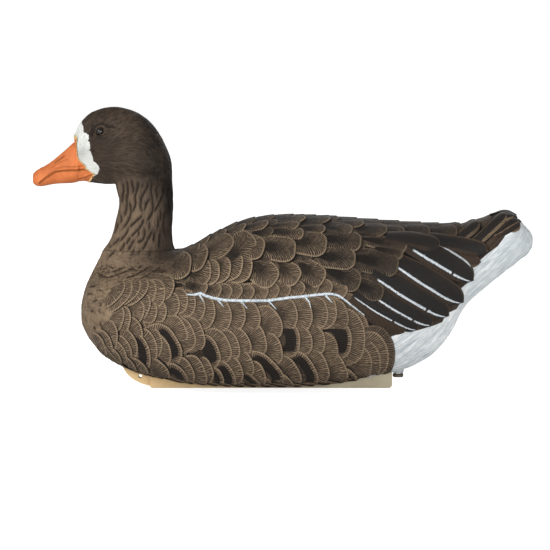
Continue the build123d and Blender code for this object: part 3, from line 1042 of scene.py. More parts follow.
@dataclass
class Coat:
    """Gathers feathers into one mesh, laid on the hull."""

    chart: HullChart
    name: str
    wave: float = 0.045
    points: list = field(default_factory=list)
    faces: list = field(default_factory=list)
    values: dict = field(default_factory=dict)

    MEASURES = ("along_mm", "rim_mm", "across", "across_mm", "tip_mm")
    TRAITS = {"tone": "tone", "bar": "bar", "glow": "glow", "show_mm": "show", "shaft": "shaft",
              "strip": "strip", "line_mm": "line", "gap_mm": "gap", "upper_line": "upper"}
    RINGS = ((0.14, 0), (0.42, 0), (0.66, 0), (0.84, 0), (0.94, 0), (1.0, 0), (1.0, 0.9), (1.0, 1.1))
    VANES = (-1.16, -1.06, -1, -0.8, -0.63, -0.54, -0.44, -0.1, 0.25, 0.6, 0.86, 1, 1.06, 1.16)

    def lay(self, feather: Feather, grid: list[list[tuple]], place: Placer, turned: bool = False) -> None:
        """Lays a grid of feather points on the hull.

        Args:
            feather: Its size and paint.
            grid: Rows of (ahead of the root, aside, height, then the five measures), all in millimetres.
            place: Puts a point ahead of the tip and aside of it on the hull.
            turned: Whether the faces turn the other way, as on the drawing's far side.
        """
        start = len(self.points)
        wide = len(grid[0])
        for row in grid:
            for forward, across, height, *measures in row:
                near = place(forward - feather.length, across)
                self.points.append(tuple(near + self.chart.outward(near) * height))
                for key, value in zip(Coat.MEASURES, measures):
                    self.values.setdefault(key, []).append(value)
                for key, trait in Coat.TRAITS.items():
                    self.values.setdefault(key, []).append(getattr(feather, trait))
        for r in range(len(grid) - 1):
            for c in range(wide - 1):
                a = start + r * wide + c
                face = (a, a + wide, a + wide + 1, a + 1)
                self.faces.append(face[::-1] if turned else face)

    def covert_rim(self, feather: Feather) -> tuple[float, list[tuple[float, float]]]:
        """The outline of a short round feather, a little uneven.

        Args:
            feather: Its size.

        Returns:
            Where the round end's centre lies ahead of the root, and the rim's points.
        """
        half, front = feather.width / 2, min(feather.width * feather.blunt, feather.length * 0.72)
        centre = feather.length - front
        power = 2 / feather.square
        phase = 0.37 * len(self.points)
        rim = [(centre * 0.08, -half * 0.8), (centre * 0.5, -half * 0.96)]
        for angle in np.radians(np.linspace(-90, 90, 13)):
            c, s = math.cos(angle), math.sin(angle)
            wave = 1 + self.wave * (math.sin(2.2 * angle + phase) + 0.6 * math.sin(5 * angle + 2 * phase)) * c
            across = half * math.copysign(abs(s) ** power, s)
            rim.append((centre + front * wave * max(c, 0.0) ** power, across))
        return centre, rim + [(centre * 0.5, half * 0.96), (centre * 0.08, half * 0.8)]

    def covert(self, feather: Feather, place: Placer, turned: bool = False, herring: bool = False) -> None:
        """Lays a short round feather, ruled from its root.

        Args:
            feather: Its size and paint.
            place: Puts a point ahead of the tip and aside of it on the hull.
            turned: Whether the faces turn the other way.
            herring: Whether the barbs slant off a shaft, instead of fanning.
        """
        half = feather.width / 2
        centre, rim = self.covert_rim(feather)
        arc = [0.0]
        for (x0, y0), (x1, y1) in zip(rim, rim[1:]):
            arc.append(arc[-1] + math.hypot(x1 - x0, y1 - y0))
        grid = []
        for part, extra in Coat.RINGS:
            row = []
            for (x, y), along in zip(rim, arc):
                facing = math.hypot(max(x - centre, 0), y)
                nx, ny = max(x - centre, 0) / facing, y / facing
                ahead, across = x * part + nx * extra, y * part + ny * extra
                share = min(max(ahead / feather.length, 0), 1.0)
                height = feather.base + feather.lift * share - feather.sink * (1 - share)
                height -= feather.droop * min(abs(across) / half, 1) ** 2
                if extra:
                    height = height - 1.2 if extra < 1 else min(height - 1.4, -0.6)
                depth = (1 - part) * (x * nx + y * ny) - extra
                fanned = half * (1 - (1 - min(abs(y) * part / half, 1)) ** 2)
                lengthwise = x * part - fanned if herring else along - arc[-1] / 2
                measures = (lengthwise, depth, across / half, across, feather.length - ahead)
                row.append((ahead, across, height, *measures))
            grid.append(row)
        self.lay(feather, grid, place, turned)

    def drawn_covert(self, given: "Drawn", feather: Feather, side: Side, herring: bool = False) -> None:
        """Lays a covert of the drawing; near the top or the belly it is laid flat instead of cast.

        Args:
            given: Its place on the drawing.
            feather: Its size and paint.
            side: Which flank.
            herring: Whether the barbs slant off a shaft.
        """
        spot = self.chart.sight(given.x, given.level, side)
        facing = abs(self.chart.outward(spot).y)
        if facing > 0.5:
            place = self.chart.on_drawing(given.x, given.level, given.angle, side)
            self.covert(feather, place, side is Side.RIGHT, herring)
        else:
            feather.width *= min(1 / max(facing, 0.4), 2.2)
            self.covert(feather, self.chart.on_tangent(spot, heading_at(given.angle)), False, herring)

    def quill(self, feather: Feather, place: Placer, turned: bool = False) -> None:
        """Lays a long feather with straight vanes; its lower strip stops short of the rounded tip.

        Args:
            feather: Its size and paint.
            place: Puts a point ahead of the tip and aside of it on the hull.
            turned: Whether the faces turn the other way.
        """
        half = feather.width / 2
        grid = []
        for part in (*(1 - (1 - np.linspace(0, 1, 21)) ** 1.8), 1.01, 1.014):
            s = min(part, 1.0)
            to_tip = feather.length * (1 - s)
            over, under = min(to_tip / (half * 1.7), 1), min(to_tip / (half * 1.9), 1)
            grown = 0.7 + 0.3 * min(s * 2.5, 1)
            high = half * grown * max((1 - (1 - over) ** 2.6) ** 0.5, 0.1)
            low = half * grown * max((1 - (1 - under) ** 2.2) ** 0.6, 0.08)
            swerve = -0.5 * feather.bend * to_tip ** 2 / feather.length
            row = []
            for t in Coat.VANES:
                reach = high if t > 0 else low
                kept = max(-1, min(1, t))
                across = reach * kept + (t - kept) * 12
                height = feather.base + feather.lift * s - feather.sink * (1 - s) - feather.droop * kept ** 2
                height += 0.5 if -0.64 < t < -0.42 and feather.line else 0.0
                extra = max(abs(t) - 1, 0) * 12 + (part - s) * 80
                if extra > 1.0:
                    height = -1.0
                elif extra:
                    height -= 1.3
                rim = min(reach * (1 - abs(kept)), to_tip) - extra
                lengthwise = feather.length * s - abs(across) * 0.9
                measures = (lengthwise, rim, kept, across, to_tip)
                row.append((feather.length * part, across + swerve, height, *measures))
            grid.append(row)
        self.lay(feather, grid, place, turned)

    def drawn_quill(self, blade: "Blade", feather: Feather, side: Side) -> None:
        """Lays a long feather of the drawing, cast where it faces the eye.

        Args:
            blade: Its place on the drawing.
            feather: Its size and paint.
            side: Which flank.
        """
        spot = self.chart.sight(blade.x, blade.level, side)
        if abs(self.chart.outward(spot).y) > 0.4:
            place = self.chart.on_drawing(blade.x, blade.level, blade.angle, side)
        else:
            place = self.chart.on_tangent(spot, heading_at(blade.angle), -side.value)
        self.quill(feather, place, side is Side.RIGHT)

    def fill(self, grow: Callable[["Coat"], int], material: Material) -> None:
        """Grows the coat's feathers, makes its mesh, dresses it and rides it on the hull.

        Args:
            grow: Lays the feathers of a tract, and returns how many there are.
            material: The feathers' paint.
        """
        LOG.info("%s: %d feathers", self.name, grow(self))
        piece = make_mesh(self.name, np.array(self.points), self.faces)
        for key, numbers in self.values.items():
            put_value(piece, key, np.array(numbers))
        finish_piece(piece, material, "hull")


@dataclass
class BellyTract:
    """Close small feathers from the wing's edge to the belly's middle, in columns that run back."""

    chart: HullChart
    columns: int = 8
    front: float = -100.0
    rear: float = 276.0
    barred_share: float = 0.12
    top_turn: Line = ((-90, 74), (-40, 66), (0, 67), (34, 77), (110, 80), (230, 80), (290, 92))
    first_run: Line = ((66, -22), (80, -40), (98, -60), (112, -74), (180, -88))
    last_run: Line = ((80, 246), (95, 264), (118, 272), (135, 268), (150, 256), (180, 240))
    spacing: Line = ((-90, 8.5), (-30, 11.5), (60, 15.0), (180, 18.0), (280, 19.0))
    lean: Line = ((70, 0), (95, 16), (125, 30), (150, 30), (170, 14), (180, 0))

    def arcs(self, run: float) -> tuple[Array, Array]:
        """Places from the wing's edge to the belly's middle.

        Args:
            run: Where along the hull.

        Returns:
            Their turns, and the girth covered at each.
        """
        marks = np.linspace(blend(self.top_turn, run), 180, 40)
        rows = np.array([self.chart.cast(run, turn) for turn in marks])
        steps = np.linalg.norm(np.diff(rows, axis=0), axis=1)
        return marks, np.concatenate([[0.0], np.cumsum(steps)])

    def grow(self, coat: Coat, side: Side, rng: random.Random) -> int:
        """Lays one side's feathers.

        Args:
            coat: The mesh that gathers them.
            side: Which flank.
            rng: Seeded source of small differences.

        Returns:
            How many were laid.
        """
        count, run = 0, self.front
        while run < self.rear:
            marks, girth = self.arcs(run)
            pitch, gap = girth[-1] / self.columns, blend(self.spacing, run)
            for column in range(self.columns + 1):
                place = run + (0.5 * (column % 2) + rng.uniform(-0.1, 0.1)) * gap
                turn = float(np.interp((column + 0.12 + rng.uniform(-0.06, 0.06)) * pitch, girth, marks))
                if turn < 176 and blend(self.first_run, turn) <= place <= blend(self.last_run, turn):
                    self.plant(coat, side, (place, turn), (pitch, gap), rng)
                    count += 1
            run += gap
        return count

    def plant(self, coat: Coat, side: Side, at: tuple[float, float], size: tuple[float, float],
              rng: random.Random) -> None:
        """Lays one feather; those under the drawn rows lie lower.

        Args:
            coat: The mesh that gathers them.
            side: Which flank.
            at: Run and turn of its tip.
            size: Spacing round the hull and along it.
            rng: Seeded source of small differences.
        """
        (place, turn), (pitch, gap) = at, size
        sign = -side.value
        spot = self.chart.point(place, turn * sign)
        back = self.chart.point(place + 4, turn * sign) - self.chart.point(place - 4, turn * sign)
        up = self.chart.point(place, (turn - 3) * sign) - self.chart.point(place, (turn + 3) * sign)
        angle = math.radians(blend(self.lean, turn) + rng.uniform(-5, 5))
        heading = back.normalized() * math.cos(angle) + up.normalized() * math.sin(angle)
        seen = DRAWING.flat(np.array([tuple(spot)]))[0][1]
        bare = float(ease(16, 2, np.array(seen))) if abs(spot.y) > 40 else 1.0
        feather = Feather(
            length=gap * 1.9 + 9, width=pitch * 1.62 * rng.uniform(0.92, 1.1), lift=0.9 + 1.2 * bare,
            sink=0.7 + 0.5 * bare, base=-1.3 + 1.3 * bare, tone=0.16 + 0.28 * rng.random(),
            glow=0.45 + 0.35 * rng.random(), show=gap,
            bar=9.0 if bare > 0.6 and rng.random() < self.barred_share else 0.0,
        )
        coat.covert(feather, self.chart.on_tangent(spot, heading))


@dataclass(frozen=True)
class Drawn:
    """A feather of the drawing: its tip, size, paint, and the way it points in degrees up from tailwards."""

    x: float
    level: float
    width: float
    angle: float
    length: float = 0.0
    tone: float = 0.3
    glow: float = 0.7
    bar: float = 0.0


def drawn_rows(*rows: tuple) -> tuple[Drawn, ...]:
    """Feathers of the drawing, each from a row in the order of Drawn's fields."""
    return tuple(Drawn(*row) for row in rows)


@dataclass
class FlankTract:
    """The flank's drawn feathers: a row under the wing, two rows below it, and the breast's small ones."""

    chart: HullChart
    usual_length: float = 38.0
    upper_row: Sequence[Drawn] = drawn_rows(
        (-142.5, 114, 36, -2), (-132.5, 118, 32, -18), (-125, 101, 30, 0), (-115, 104, 32, -5),
        (-105.5, 101, 34, -5), (-94, 96, 36, -5), (-82, 89, 44, -8), (-62, 86, 40, -3), (-45, 87, 40, -3),
        (-27, 87, 38, 5), (-3, 85, 46, 24), (18.5, 88, 42, 0), (36.5, 88, 44, 0), (55.5, 90, 42, 0),
        (66, 89, 42, -8), (80, 88, 42, 5, 0, 0.3, 0.4),
    )
    middle_row: Sequence[Drawn] = drawn_rows(
        (-129, 60, 60, 29, 44, 0.3, 0.7, 10), (-119, 75, 42, 24), (-109, 70, 46, 22), (-97, 69, 48, 18),
        (-79, 49, 46, 22, 40, 0.3, 0.7, 15), (-66, 56, 48, 24), (-54, 55, 42, 18), (-42, 61, 40, 28),
        (-21, 62, 46, 16), (-1.5, 50, 44, 15), (21, 59, 46, 3, 42, 0.3, 0.7, 13), (36, 57, 34, 5),
        (51.5, 58, 38, 5), (66.5, 51, 38, 12, 0, 0.3, 0.35), (83.5, 58, 50, 0, 42, 0.3, 0.7, 15),
        (100, 62, 72, 2, 60), (108.5, 29, 42, 0, 40, 0.3, 0.4), (119, 34, 50, 5, 44, 0.3, 0.5),
        (128, 43, 56, 8, 46, 0.3, 0.6), (136, 44, 66, 4, 50, 0.7, 0.0),
    )
    lower_row: Sequence[Drawn] = drawn_rows(
        (-97, 26, 36, 20), (-93, 15, 26, 12), (-86, 23, 38, 15), (-73, 13, 26, 15, 26, 0.3, 0.7, 7),
        (-60, 18, 40, 22, 36, 0.3, 0.7, 9), (-49.5, 22, 38, 12), (-36.5, 30, 38, 15),
        (-31, 9, 28, 35, 34, 0.3, 0.7, 8), (-22, 18, 36, 15), (-9, 29, 70, 40, 40, 0.3, 0.7, 11),
        (9, 10, 32, 40), (18, 24, 50, 27), (38, 26, 58, 26, 44, 0.3, 0.7, 10), (54, 29, 50, 18),
        (76, 27, 50, 22), (87, 17, 30, 40, 34, 0.3, 0.7, 9),
    )
    breast: Sequence[Drawn] = drawn_rows(
        (-193, 83, 34, -8, 22), (-200.5, 63, 42, 5, 22), (-208, 55, 42, 22, 22), (-217, 54, 38, 26, 22),
        (-199, 108, 44, -38, 22), (-185, 82, 34, -3, 24), (-191, 104, 50, -38, 24), (-179, 110, 40, -38, 24),
        (-170, 110, 42, -38, 24), (-168.5, 92, 28, -5, 24), (-161.5, 98, 34, -8, 26),
        (-154, 116, 30, -4, 26), (-153, 91, 28, -4, 26), (-141.5, 92, 26, 0, 26), (-173, 75, 34, 26, 26),
        (-163.5, 48, 52, 20, 30, 0.3, 0.7, 10), (-154, 52, 48, 14, 30), (-147, 54, 38, 4, 28),
        (-139.5, 52, 44, 26, 28), (-179, 57, 42, 22, 26), (-186, 51, 36, 25, 24), (-193, 47, 34, 28, 22),
        (-200, 41, 28, 34, 22), (-207, 40, 26, 36, 22), (-183, 31, 30, 38, 24), (-169, 28, 32, 40, 26),
        (-144, 27, 36, 40, 28), (-122, 22, 34, 42, 32, 0.3, 0.7, 8), (-110, 23, 38, 22, 30),
    )

    def grow(self, coat: Coat, side: Side, rng: random.Random) -> int:
        """Lays one side's drawn feathers, upper rows standing a little over lower ones.

        Args:
            coat: The mesh that gathers them.
            side: Which flank.
            rng: Seeded source of small differences.

        Returns:
            How many were laid.
        """
        rows = ((self.breast, 0.2, 0.33), (self.lower_row, 0.0, 0.4), (self.middle_row, 0.3, 0.38),
                (self.upper_row, 0.6, 0.42))
        for row, base, blunt in rows:
            for given in row:
                coat.drawn_covert(given, Feather(
                    given.length or self.usual_length, given.width, lift=2.2, sink=1.2, droop=1.3, base=base,
                    blunt=blunt, bar=given.bar, glow=given.glow, tone=given.tone + rng.uniform(-0.12, 0.12),
                    show=blend(((-200, 34), (-150, 17)), given.x),
                ), side)
        return sum(len(row) for row, _, _ in rows)


def heading_at(angle: float) -> Vector:
    """The way of an angle on the drawing, in degrees up from tailwards."""
    turn = math.radians(angle)
    return Vector((math.cos(turn), 0, math.sin(turn)))


@dataclass(frozen=True)
class Blade:
    """A long feather of the drawing: its tip, size, angle at the tip, and traits."""

    x: float
    level: float
    length: float
    width: float
    angle: float
    base: float
    line: float = 0.0
    gap: float = 200.0
    upper: float = 0.0
    tone: float = 1.0
    bend: float = 0.30
    strip: float = 0.0

    def feather(self, lift: float, droop: float) -> Feather:
        """The feather at this place; its tip stands off by lift, and its edges fall by droop."""
        return Feather(
            self.length, self.width, lift, 0.8, droop, base=self.base, tone=self.tone, strip=self.strip,
            line=self.line, gap=self.gap, upper=self.upper, bend=self.bend,
        )


@dataclass
class WingTract:
    """Shoulder feathers, coverts and the long dark feathers of one folded wing."""

    chart: HullChart
    fanned: int = 5
    shoulder: Sequence[Drawn] = drawn_rows(
        (-111, 146, 36, -12, 26, 0.4), (-93, 152, 40, -26, 32, 0.4), (-62, 182, 25, 45, 46, 0.45),
        (-38, 184, 32, 46, 54, 0.5), (-23, 165, 31, -22, 34), (15.5, 165, 31, -10, 50, 0.6),
        (53, 171, 30, -11, 52, 0.55), (95, 175, 24, -8, 60, 0.65), (88, 155, 27, -6, 50, 0.6),
        (139.5, 147, 31, -12, 60, 0.95, 0.3), (150, 170, 17, -12, 62, 0.6),
        (145.5, 161, 16, -14, 40, 0.8, 0.5),
    )
    coverts: Sequence[Drawn] = drawn_rows(
        (-87.5, 138, 38, -10, 38), (-77, 138, 34, -10, 30, 0.3, 0.9), (-64, 140, 36, -16, 30, 0.3, 0.9),
        (-50, 143, 40, -20, 32, 0.3, 0.9), (-38.5, 140, 38, -20, 32, 0.3, 0.9),
        (-10, 127, 34, -42, 42, 0.35, 0.95), (18, 129, 30, -40, 36, 0.35, 0.95),
        (49, 129, 31, -34, 42, 0.4, 0.9), (93, 125, 30, -26, 50, 0.7, 0.5),
        (121, 113, 24, -22, 38, 1.0, 0.2),
    )
    band: Sequence[tuple[float, float]] = (
        (-92, 119), (-75, 116), (-62, 114), (-50, 114), (-35, 114), (-18, 114), (-5, 115), (9, 116),
        (26, 117), (43, 119), (60, 120), (78, 116),
    )
    ridge_row: Sequence[Drawn] = drawn_rows(
        (-100, 172, 11, 42, 30, 0.6), (-88, 182, 10, 42, 34, 0.6), (-68, 190, 11, 33, 40, 0.6),
        (-45, 196, 12, 22, 44, 0.6), (-18, 199, 12, 8, 44, 0.65), (25, 186, 15, -5, 46, 0.5),
        (19, 197, 11, -3, 46, 0.55), (27, 205, 13, -2, 46, 0.65), (57, 204, 13, -3, 46, 0.65),
        (51, 192, 12, -3, 40, 0.6), (84, 191, 15, -11, 46, 0.6), (98, 199, 12, -3, 46, 0.7),
        (126, 191, 17, -10, 50, 0.75, 0.5), (147, 189, 15, -16, 48, 0.8, 0.35),
        (178, 190, 18, -4, 56, 0.85, 0.2), (212, 189, 18, 0, 60, 0.85, 0.15),
    )
    blades: Sequence[Blade] = (
        Blade(147, 67, 76, 26, -36, 0.2, tone=0.0, bend=0.1),
        Blade(164, 72, 88, 18, -23, 0.9, 86, 30, bend=-0.2),
        Blade(181, 78, 92, 24, -25, 1.7, 78, 22, bend=-0.16),
        Blade(200, 89, 104, 29, -29, 2.5, 96, 25, bend=-0.04),
        Blade(217, 106, 98, 29, -31, 3.3, 88, bend=0.0),
        Blade(240, 153, 80, 17, -10, 2.0, tone=0.0, bend=0.1, strip=0.6),
        Blade(230, 133, 96, 30, -32, 4.1, 80, 24, 1, bend=0.12),
        Blade(249, 167, 112, 19, -10, 3.4, bend=0.05),
        Blade(190, 170, 66, 19, -16, 4.4, bend=0.2, tone=0.9),
    )
    edge_line: Line = (
        (-117, 112.5), (-108, 112), (-100, 114), (-92, 110.5), (-83, 108), (-70, 106), (-56, 105.5),
        (-40, 105.5), (-20, 105.5), (-8, 107), (10, 109.5), (25, 110.5), (40, 112.5), (52, 113.7),
        (62, 113.5), (68, 111.5), (75, 107), (82, 101), (90, 95), (99, 88),
    )
    ticks: Sequence[Line] = (
        ((-101, 112), (-96, 103)), ((-79, 106), (-72, 98)), ((-51, 105), (-43.5, 96)),
        ((-17, 105), (-8, 95)), ((27, 110), (32, 104), (34, 97)), ((52, 112), (60, 103)),
    )

    def grow_short(self, coat: Coat, side: Side, rng: random.Random) -> int:
        """Lays the band over the white edge, the row along the ridge, the coverts and the shoulder.

        Args:
            coat: The mesh that gathers them.
            side: Which flank.
            rng: Seeded source of small differences.

        Returns:
            How many were laid.
        """
        for x, level in self.band:
            given = Drawn(x, level, 21, -14 + rng.uniform(-5, 5))
            feather = Feather(32, 21, 1.6, 1.0, 0.8, 2.4, 0.6, 0.3 + 0.25 * rng.random(), 0.75, show=15)
            coat.drawn_covert(given, feather, side, herring=True)
        rows = ((self.ridge_row, 0.8), (self.coverts, 1.0), (self.shoulder, 1.7))
        for row, base in rows:
            for number, given in enumerate(row):
                fan = row is self.coverts and number < self.fanned
                rear = blend(((20, 0.0), (130, 1.0)), given.x)
                share = 0.38 if fan else blend(((-80, 0.9), (-40, 0.5)), given.x)
                coat.drawn_covert(given, Feather(
                    given.length, given.width, 2.2, 1.6, 1.5, 2.5, base, given.tone + 0.15 + 0.35 * rear,
                    given.glow * (1 - 0.45 * rear), show=given.length * share,
                    shaft=0.0 if fan or row is self.ridge_row else 1.0,
                ), side, herring=not fan)
        return len(self.band) + sum(len(row) for row, _ in rows)

    def grow_long(self, coat: Coat, side: Side) -> int:
        """Lays the long feathers, lowest first.

        Args:
            coat: The mesh that gathers them.
            side: Which flank.

        Returns:
            How many were laid.
        """
        for blade in self.blades:
            coat.drawn_quill(blade, blade.feather(2.2, 1.6), side)
        return len(self.blades)


@dataclass
class MantleTract:
    """Back and rump feathers, in columns over the top."""

    chart: HullChart
    turns: Sequence[float] = (0, 11, 22, 33, 44, 54, 63)
    front: float = 40.0
    rear: float = 372.0
    side_rear: float = 300.0

    def grow(self, coat: Coat, rng: random.Random) -> int:
        """Lays both sides.

        Args:
            coat: The mesh that gathers them.
            rng: Seeded source of small differences.

        Returns:
            How many were laid.
        """
        laid = 0
        for number, turn in enumerate(self.turns):
            for sign in ((1,) if turn == 0 else (1, -1)):
                run = self.front + 13 * (number % 2)
                while run < (self.rear if turn < 40 else self.side_rear):
                    size = self.plant(coat, run, (turn, sign), rng)
                    laid += 1
                    run += 26 * size * rng.uniform(0.92, 1.08)
        return laid

    def plant(self, coat: Coat, run: float, column: tuple[float, int], rng: random.Random) -> float:
        """Lays one feather.

        Args:
            coat: The mesh that gathers them.
            run: Where along the hull.
            column: The column's turn and the sign of its side.
            rng: Seeded source of small differences.

        Returns:
            Its size as a share of the largest.
        """
        turn, sign = column
        angle = turn * (1 + 0.25 * max(0, (run - 250) / 120)) + rng.uniform(-1.5, 1.5)
        spot = self.chart.point(run, angle * sign)
        back = self.chart.point(run + 5, angle * sign) - self.chart.point(run - 5, angle * sign)
        size = blend(((20, 0.55), (70, 0.8), (160, 1.0), (300, 0.95), (380, 0.7)), run)
        heading = back.normalized() + Vector((0, sign * 0.06, -0.3 if turn > 40 else 0))
        coat.covert(Feather(
            54 * size, 25 * size * rng.uniform(0.92, 1.08), 1.1, 1.2, 1.0, 2.2, 0.2 if turn < 40 else -0.6,
            0.85 + 0.15 * rng.random(), blend(((60, 0.35), (180, 0.12), (260, 0.03)), run), show=18,
        ), self.chart.on_tangent(spot, heading), herring=True)
        return size


@dataclass
class TailTract:
    """Tail feathers fanned over the top of the tail."""

    chart: HullChart
    blades: Sequence[Blade] = (
        Blade(288, 200, 64, 13, 41, 0.2, tone=0.5, bend=-0.03, strip=1.0),
        Blade(285, 204, 72, 12, 42, 0.6, tone=0.8, bend=-0.04, strip=1.0),
        Blade(280, 208.5, 76, 12, 42, 1.0, tone=0.85, bend=-0.03, strip=1.0),
        Blade(272, 210.5, 84, 13, 42, 1.4, tone=0.9, bend=0.02, strip=0.9),
        Blade(240, 200, 42, 13, 36, 1.7, tone=0.9, bend=0.0, strip=0.6),
    )
    middle: Sequence[tuple[float, float]] = ((-24, 0.3), (24, 0.3), (0, 0.8))
    middle_run: float = 434.0

    def grow(self, coat: Coat) -> int:
        """Lays both sides and the middle feathers.

        Args:
            coat: The mesh that gathers them.

        Returns:
            How many were laid.
        """
        for side in Side:
            for blade in self.blades:
                coat.drawn_quill(blade, blade.feather(1.1, 1.2), side)
        for turn, base in self.middle:
            place = self.chart.on_tangent(self.chart.point(self.middle_run, turn), Vector((1, 0, 0.3)))
            coat.quill(Feather(54, 22, 0.9, 2.6, 1.2, base=base, tone=0.8), place)
        return 2 * len(self.blades) + len(self.middle)


# ---- moulded relief
@dataclass
class Strokes:
    """Short grooves scattered over a skin along a flow."""

    count: int
    length: float
    width: float
    depth: float
    bow: float = 0.004
    seed: int = 1

    def carve(self, points: Array, normals: Array, weight: Array,
              flow: Callable[[Array], Array]) -> Array:
        """Cuts the grooves.

        Args:
            points: Skin vertices in millimetres.
            normals: Their outward normals.
            weight: How likely a groove starts at each vertex.
            flow: Gives a direction in space for each row of points.

        Returns:
            Heights in millimetres, none above 0.
        """
        picker = np.random.default_rng(self.seed)
        chosen = picker.choice(len(points), self.count, p=weight / weight.sum())
        aims = flow(points[chosen])
        tree = kdtree.KDTree(len(points))
        for number, point in enumerate(points):
            tree.insert(point, number)
        tree.balance()
        heights = np.zeros(len(points))
        for centre, aim in zip(chosen, aims):
            reach = self.length * picker.uniform(0.3, 0.7)
            wide = self.width * picker.uniform(0.75, 1.3)
            deep = self.depth * picker.uniform(0.5, 1.1)
            bow = self.bow * picker.uniform(-1, 1)
            near = [n for _, n, _ in tree.find_range(points[centre], reach + 2 * wide)]
            normal = normals[centre]
            ahead = aim - normal * (aim @ normal)
            ahead /= np.linalg.norm(ahead) + 1e-9
            rel = points[near] - points[centre]
            u = rel @ ahead
            w = rel @ np.cross(normal, ahead) + bow * u * u
            fade = np.clip(1 - np.abs(u / reach) ** 2.5, 0, 1)
            heights[near] = np.minimum(heights[near], -deep * fade * bell(w, wide))
        return heights


NECK_GROOVES: Sequence[Line] = (
    ((-190, 254), (-188, 243), (-189, 235), (-190, 225), (-190.5, 216), (-193, 206)),
    ((-196, 251), (-193, 241), (-196, 231), (-195, 222)), ((-185, 256), (-181.5, 243), (-182, 234)),
    ((-177, 255), (-175, 246), (-178, 237), (-179.5, 230), (-179, 222), (-182, 216), (-185, 211)),
    ((-163, 258), (-163, 247), (-166, 240), (-171, 233), (-173, 227), (-172.5, 219), (-170, 211)),
    ((-160, 231), (-164, 226), (-167, 220), (-169.5, 212)),
    ((-187, 228), (-184.5, 216), (-187, 205), (-191, 198), (-196, 192)),
    ((-160, 260), (-159, 246), (-159, 234), (-157, 224), (-157.5, 214), (-160.5, 208), (-166, 200)),
    ((-170, 213), (-172, 207), (-179, 202), (-184, 197.5), (-188, 193)),
    ((-169, 208), (-170, 200), (-174, 194), (-180, 188), (-187, 182.5)),
    ((-187, 197), (-189, 190), (-194, 183), (-201, 176)), ((-197, 184), (-204, 177), (-210, 172)),
    ((-169, 196), (-167.5, 189), (-168.5, 182), (-173, 177.5), (-180, 177)),
    ((-179, 181), (-185, 174), (-189, 165)),
    ((-158, 193), (-160, 186), (-165, 178), (-169, 170), (-171, 165)),
    ((-157, 192), (-155.5, 184), (-158, 175)), ((-151, 208), (-150.5, 200), (-152.5, 192)),
    ((-148.5, 191), (-149, 182), (-151, 168)), ((-145, 236), (-149, 225), (-154, 217), (-157.5, 212)),
    ((-141, 254), (-145, 241), (-145, 232)), ((-149, 216), (-147.5, 208), (-149, 200)),
    ((-141, 216), (-144, 207), (-145, 196), (-143, 186)), ((-191, 178), (-196, 169), (-201, 164)),
    ((-203, 168), (-208, 163), (-214, 157)), ((-207, 176), (-214, 168)),
    ((-180, 171), (-182, 164), (-186, 157)), ((-173, 170), (-175, 164), (-179, 160)),
    ((-159, 170), (-162, 163), (-164, 158)), ((-200, 204), (-203, 193), (-208, 184)),
    ((-198, 214), (-196.5, 205), (-199, 197)), ((-163, 205), (-161, 197), (-163, 190)),
    ((-177, 196), (-175, 188), (-177, 181)), ((-152, 247), (-153, 236), (-151, 228)),
    ((-169, 250), (-172, 241)), ((-166, 186), (-163, 178)), ((-193, 168), (-196, 161)),
    ((-184, 186), (-188, 178), (-194, 172)),
)


def rounded(line: Line) -> Line:
    """The chain with its corners cut twice.

    Args:
        line: The chain's corners.

    Returns:
        The softer chain.
    """
    for _ in range(2):
        pairs = list(zip(line, line[1:]))
        inner = [(a[0] + (b[0] - a[0]) * t, a[1] + (b[1] - a[1]) * t) for a, b in pairs for t in (0.25, 0.75)]
        line = (line[0], *inner[1:-1], line[-1])
    return line


def groove_gap(points: Array, line: Line) -> Array:
    """Distance to a rounded groove that tapers out at both ends.

    Args:
        points: Rows of place and level.
        line: The groove's corners.

    Returns:
        The distance for each row, larger near the ends.
    """
    soft = rounded(line)
    ends = np.minimum(*(np.hypot(points[:, 0] - x, points[:, 1] - z) for x, z in (soft[0], soft[-1])))
    return line_distance(points, soft) + 1.6 * ease(6.0, 0.5, ends)


def round_neck(points: Array) -> Array:
    """Distance round the neck from its front, in millimetres."""
    return np.arctan2(points[:, 1], -(points[:, 0] - NECK_AXIS_X)) * NECK_RADIUS


def spindle_relief(points: Array, wide: float = 7.0, tall: float = 17.0) -> Array:
    """Upright spindle tufts round the neck's front and nape.

    Args:
        points: Skin vertices in millimetres.
        wide: Width of a tuft.
        tall: Half the length of a tuft.

    Returns:
        Heights in millimetres.
    """
    q = round_neck(points) / wide + 0.3 * rough(points, tall, 3.0)
    v = points[:, 2] + 5 * rough(points, 22.0, 8.0)
    nearest = np.full(len(points), 9.0)
    for offset in range(-1, 3):
        index = np.floor(q) + offset
        sway = 0.3 * np.where(index % 2 == 0, 1.0, -1.0) * np.cos(math.pi * v / tall)
        nearest = np.minimum(nearest, np.abs(q - index - sway))
    return groove_shape(nearest * wide)


def groove_shape(gap: Array) -> Array:
    """Section of a soft ridge beside a cut, by distance from the cut."""
    return 2.1 * (1 - np.exp(-gap / 1.7)) - 1.35


def neck_relief(points: Array) -> Array:
    """The neck's tufts: drawn grooves on its sides, spindles round front and nape.

    Args:
        points: Skin vertices in millimetres.

    Returns:
        Heights in millimetres.
    """
    flat = DRAWING.flat(points)
    flat = flat + np.stack([rough(points, 9.0, 4.0), rough(points, 9.0, 14.0)], axis=1) * 0.6
    gap = np.min([groove_gap(flat, line) for line in NECK_GROOVES], axis=0)
    side = ease(6, 16, np.abs(points[:, 1]))
    spindles = spindle_relief(points)
    return side * np.minimum(groove_shape(gap), 0.7 + 0.15 * spindles) + (1 - side) * spindles


def brushed(before: Array, after: Array) -> Array:
    """How far a relief turns the skin forwards and up, towards the key lamp; the paint adds it as painted
    light and shade.
    """
    return (after - before) @ np.array([-0.8, 0.0, 0.6])


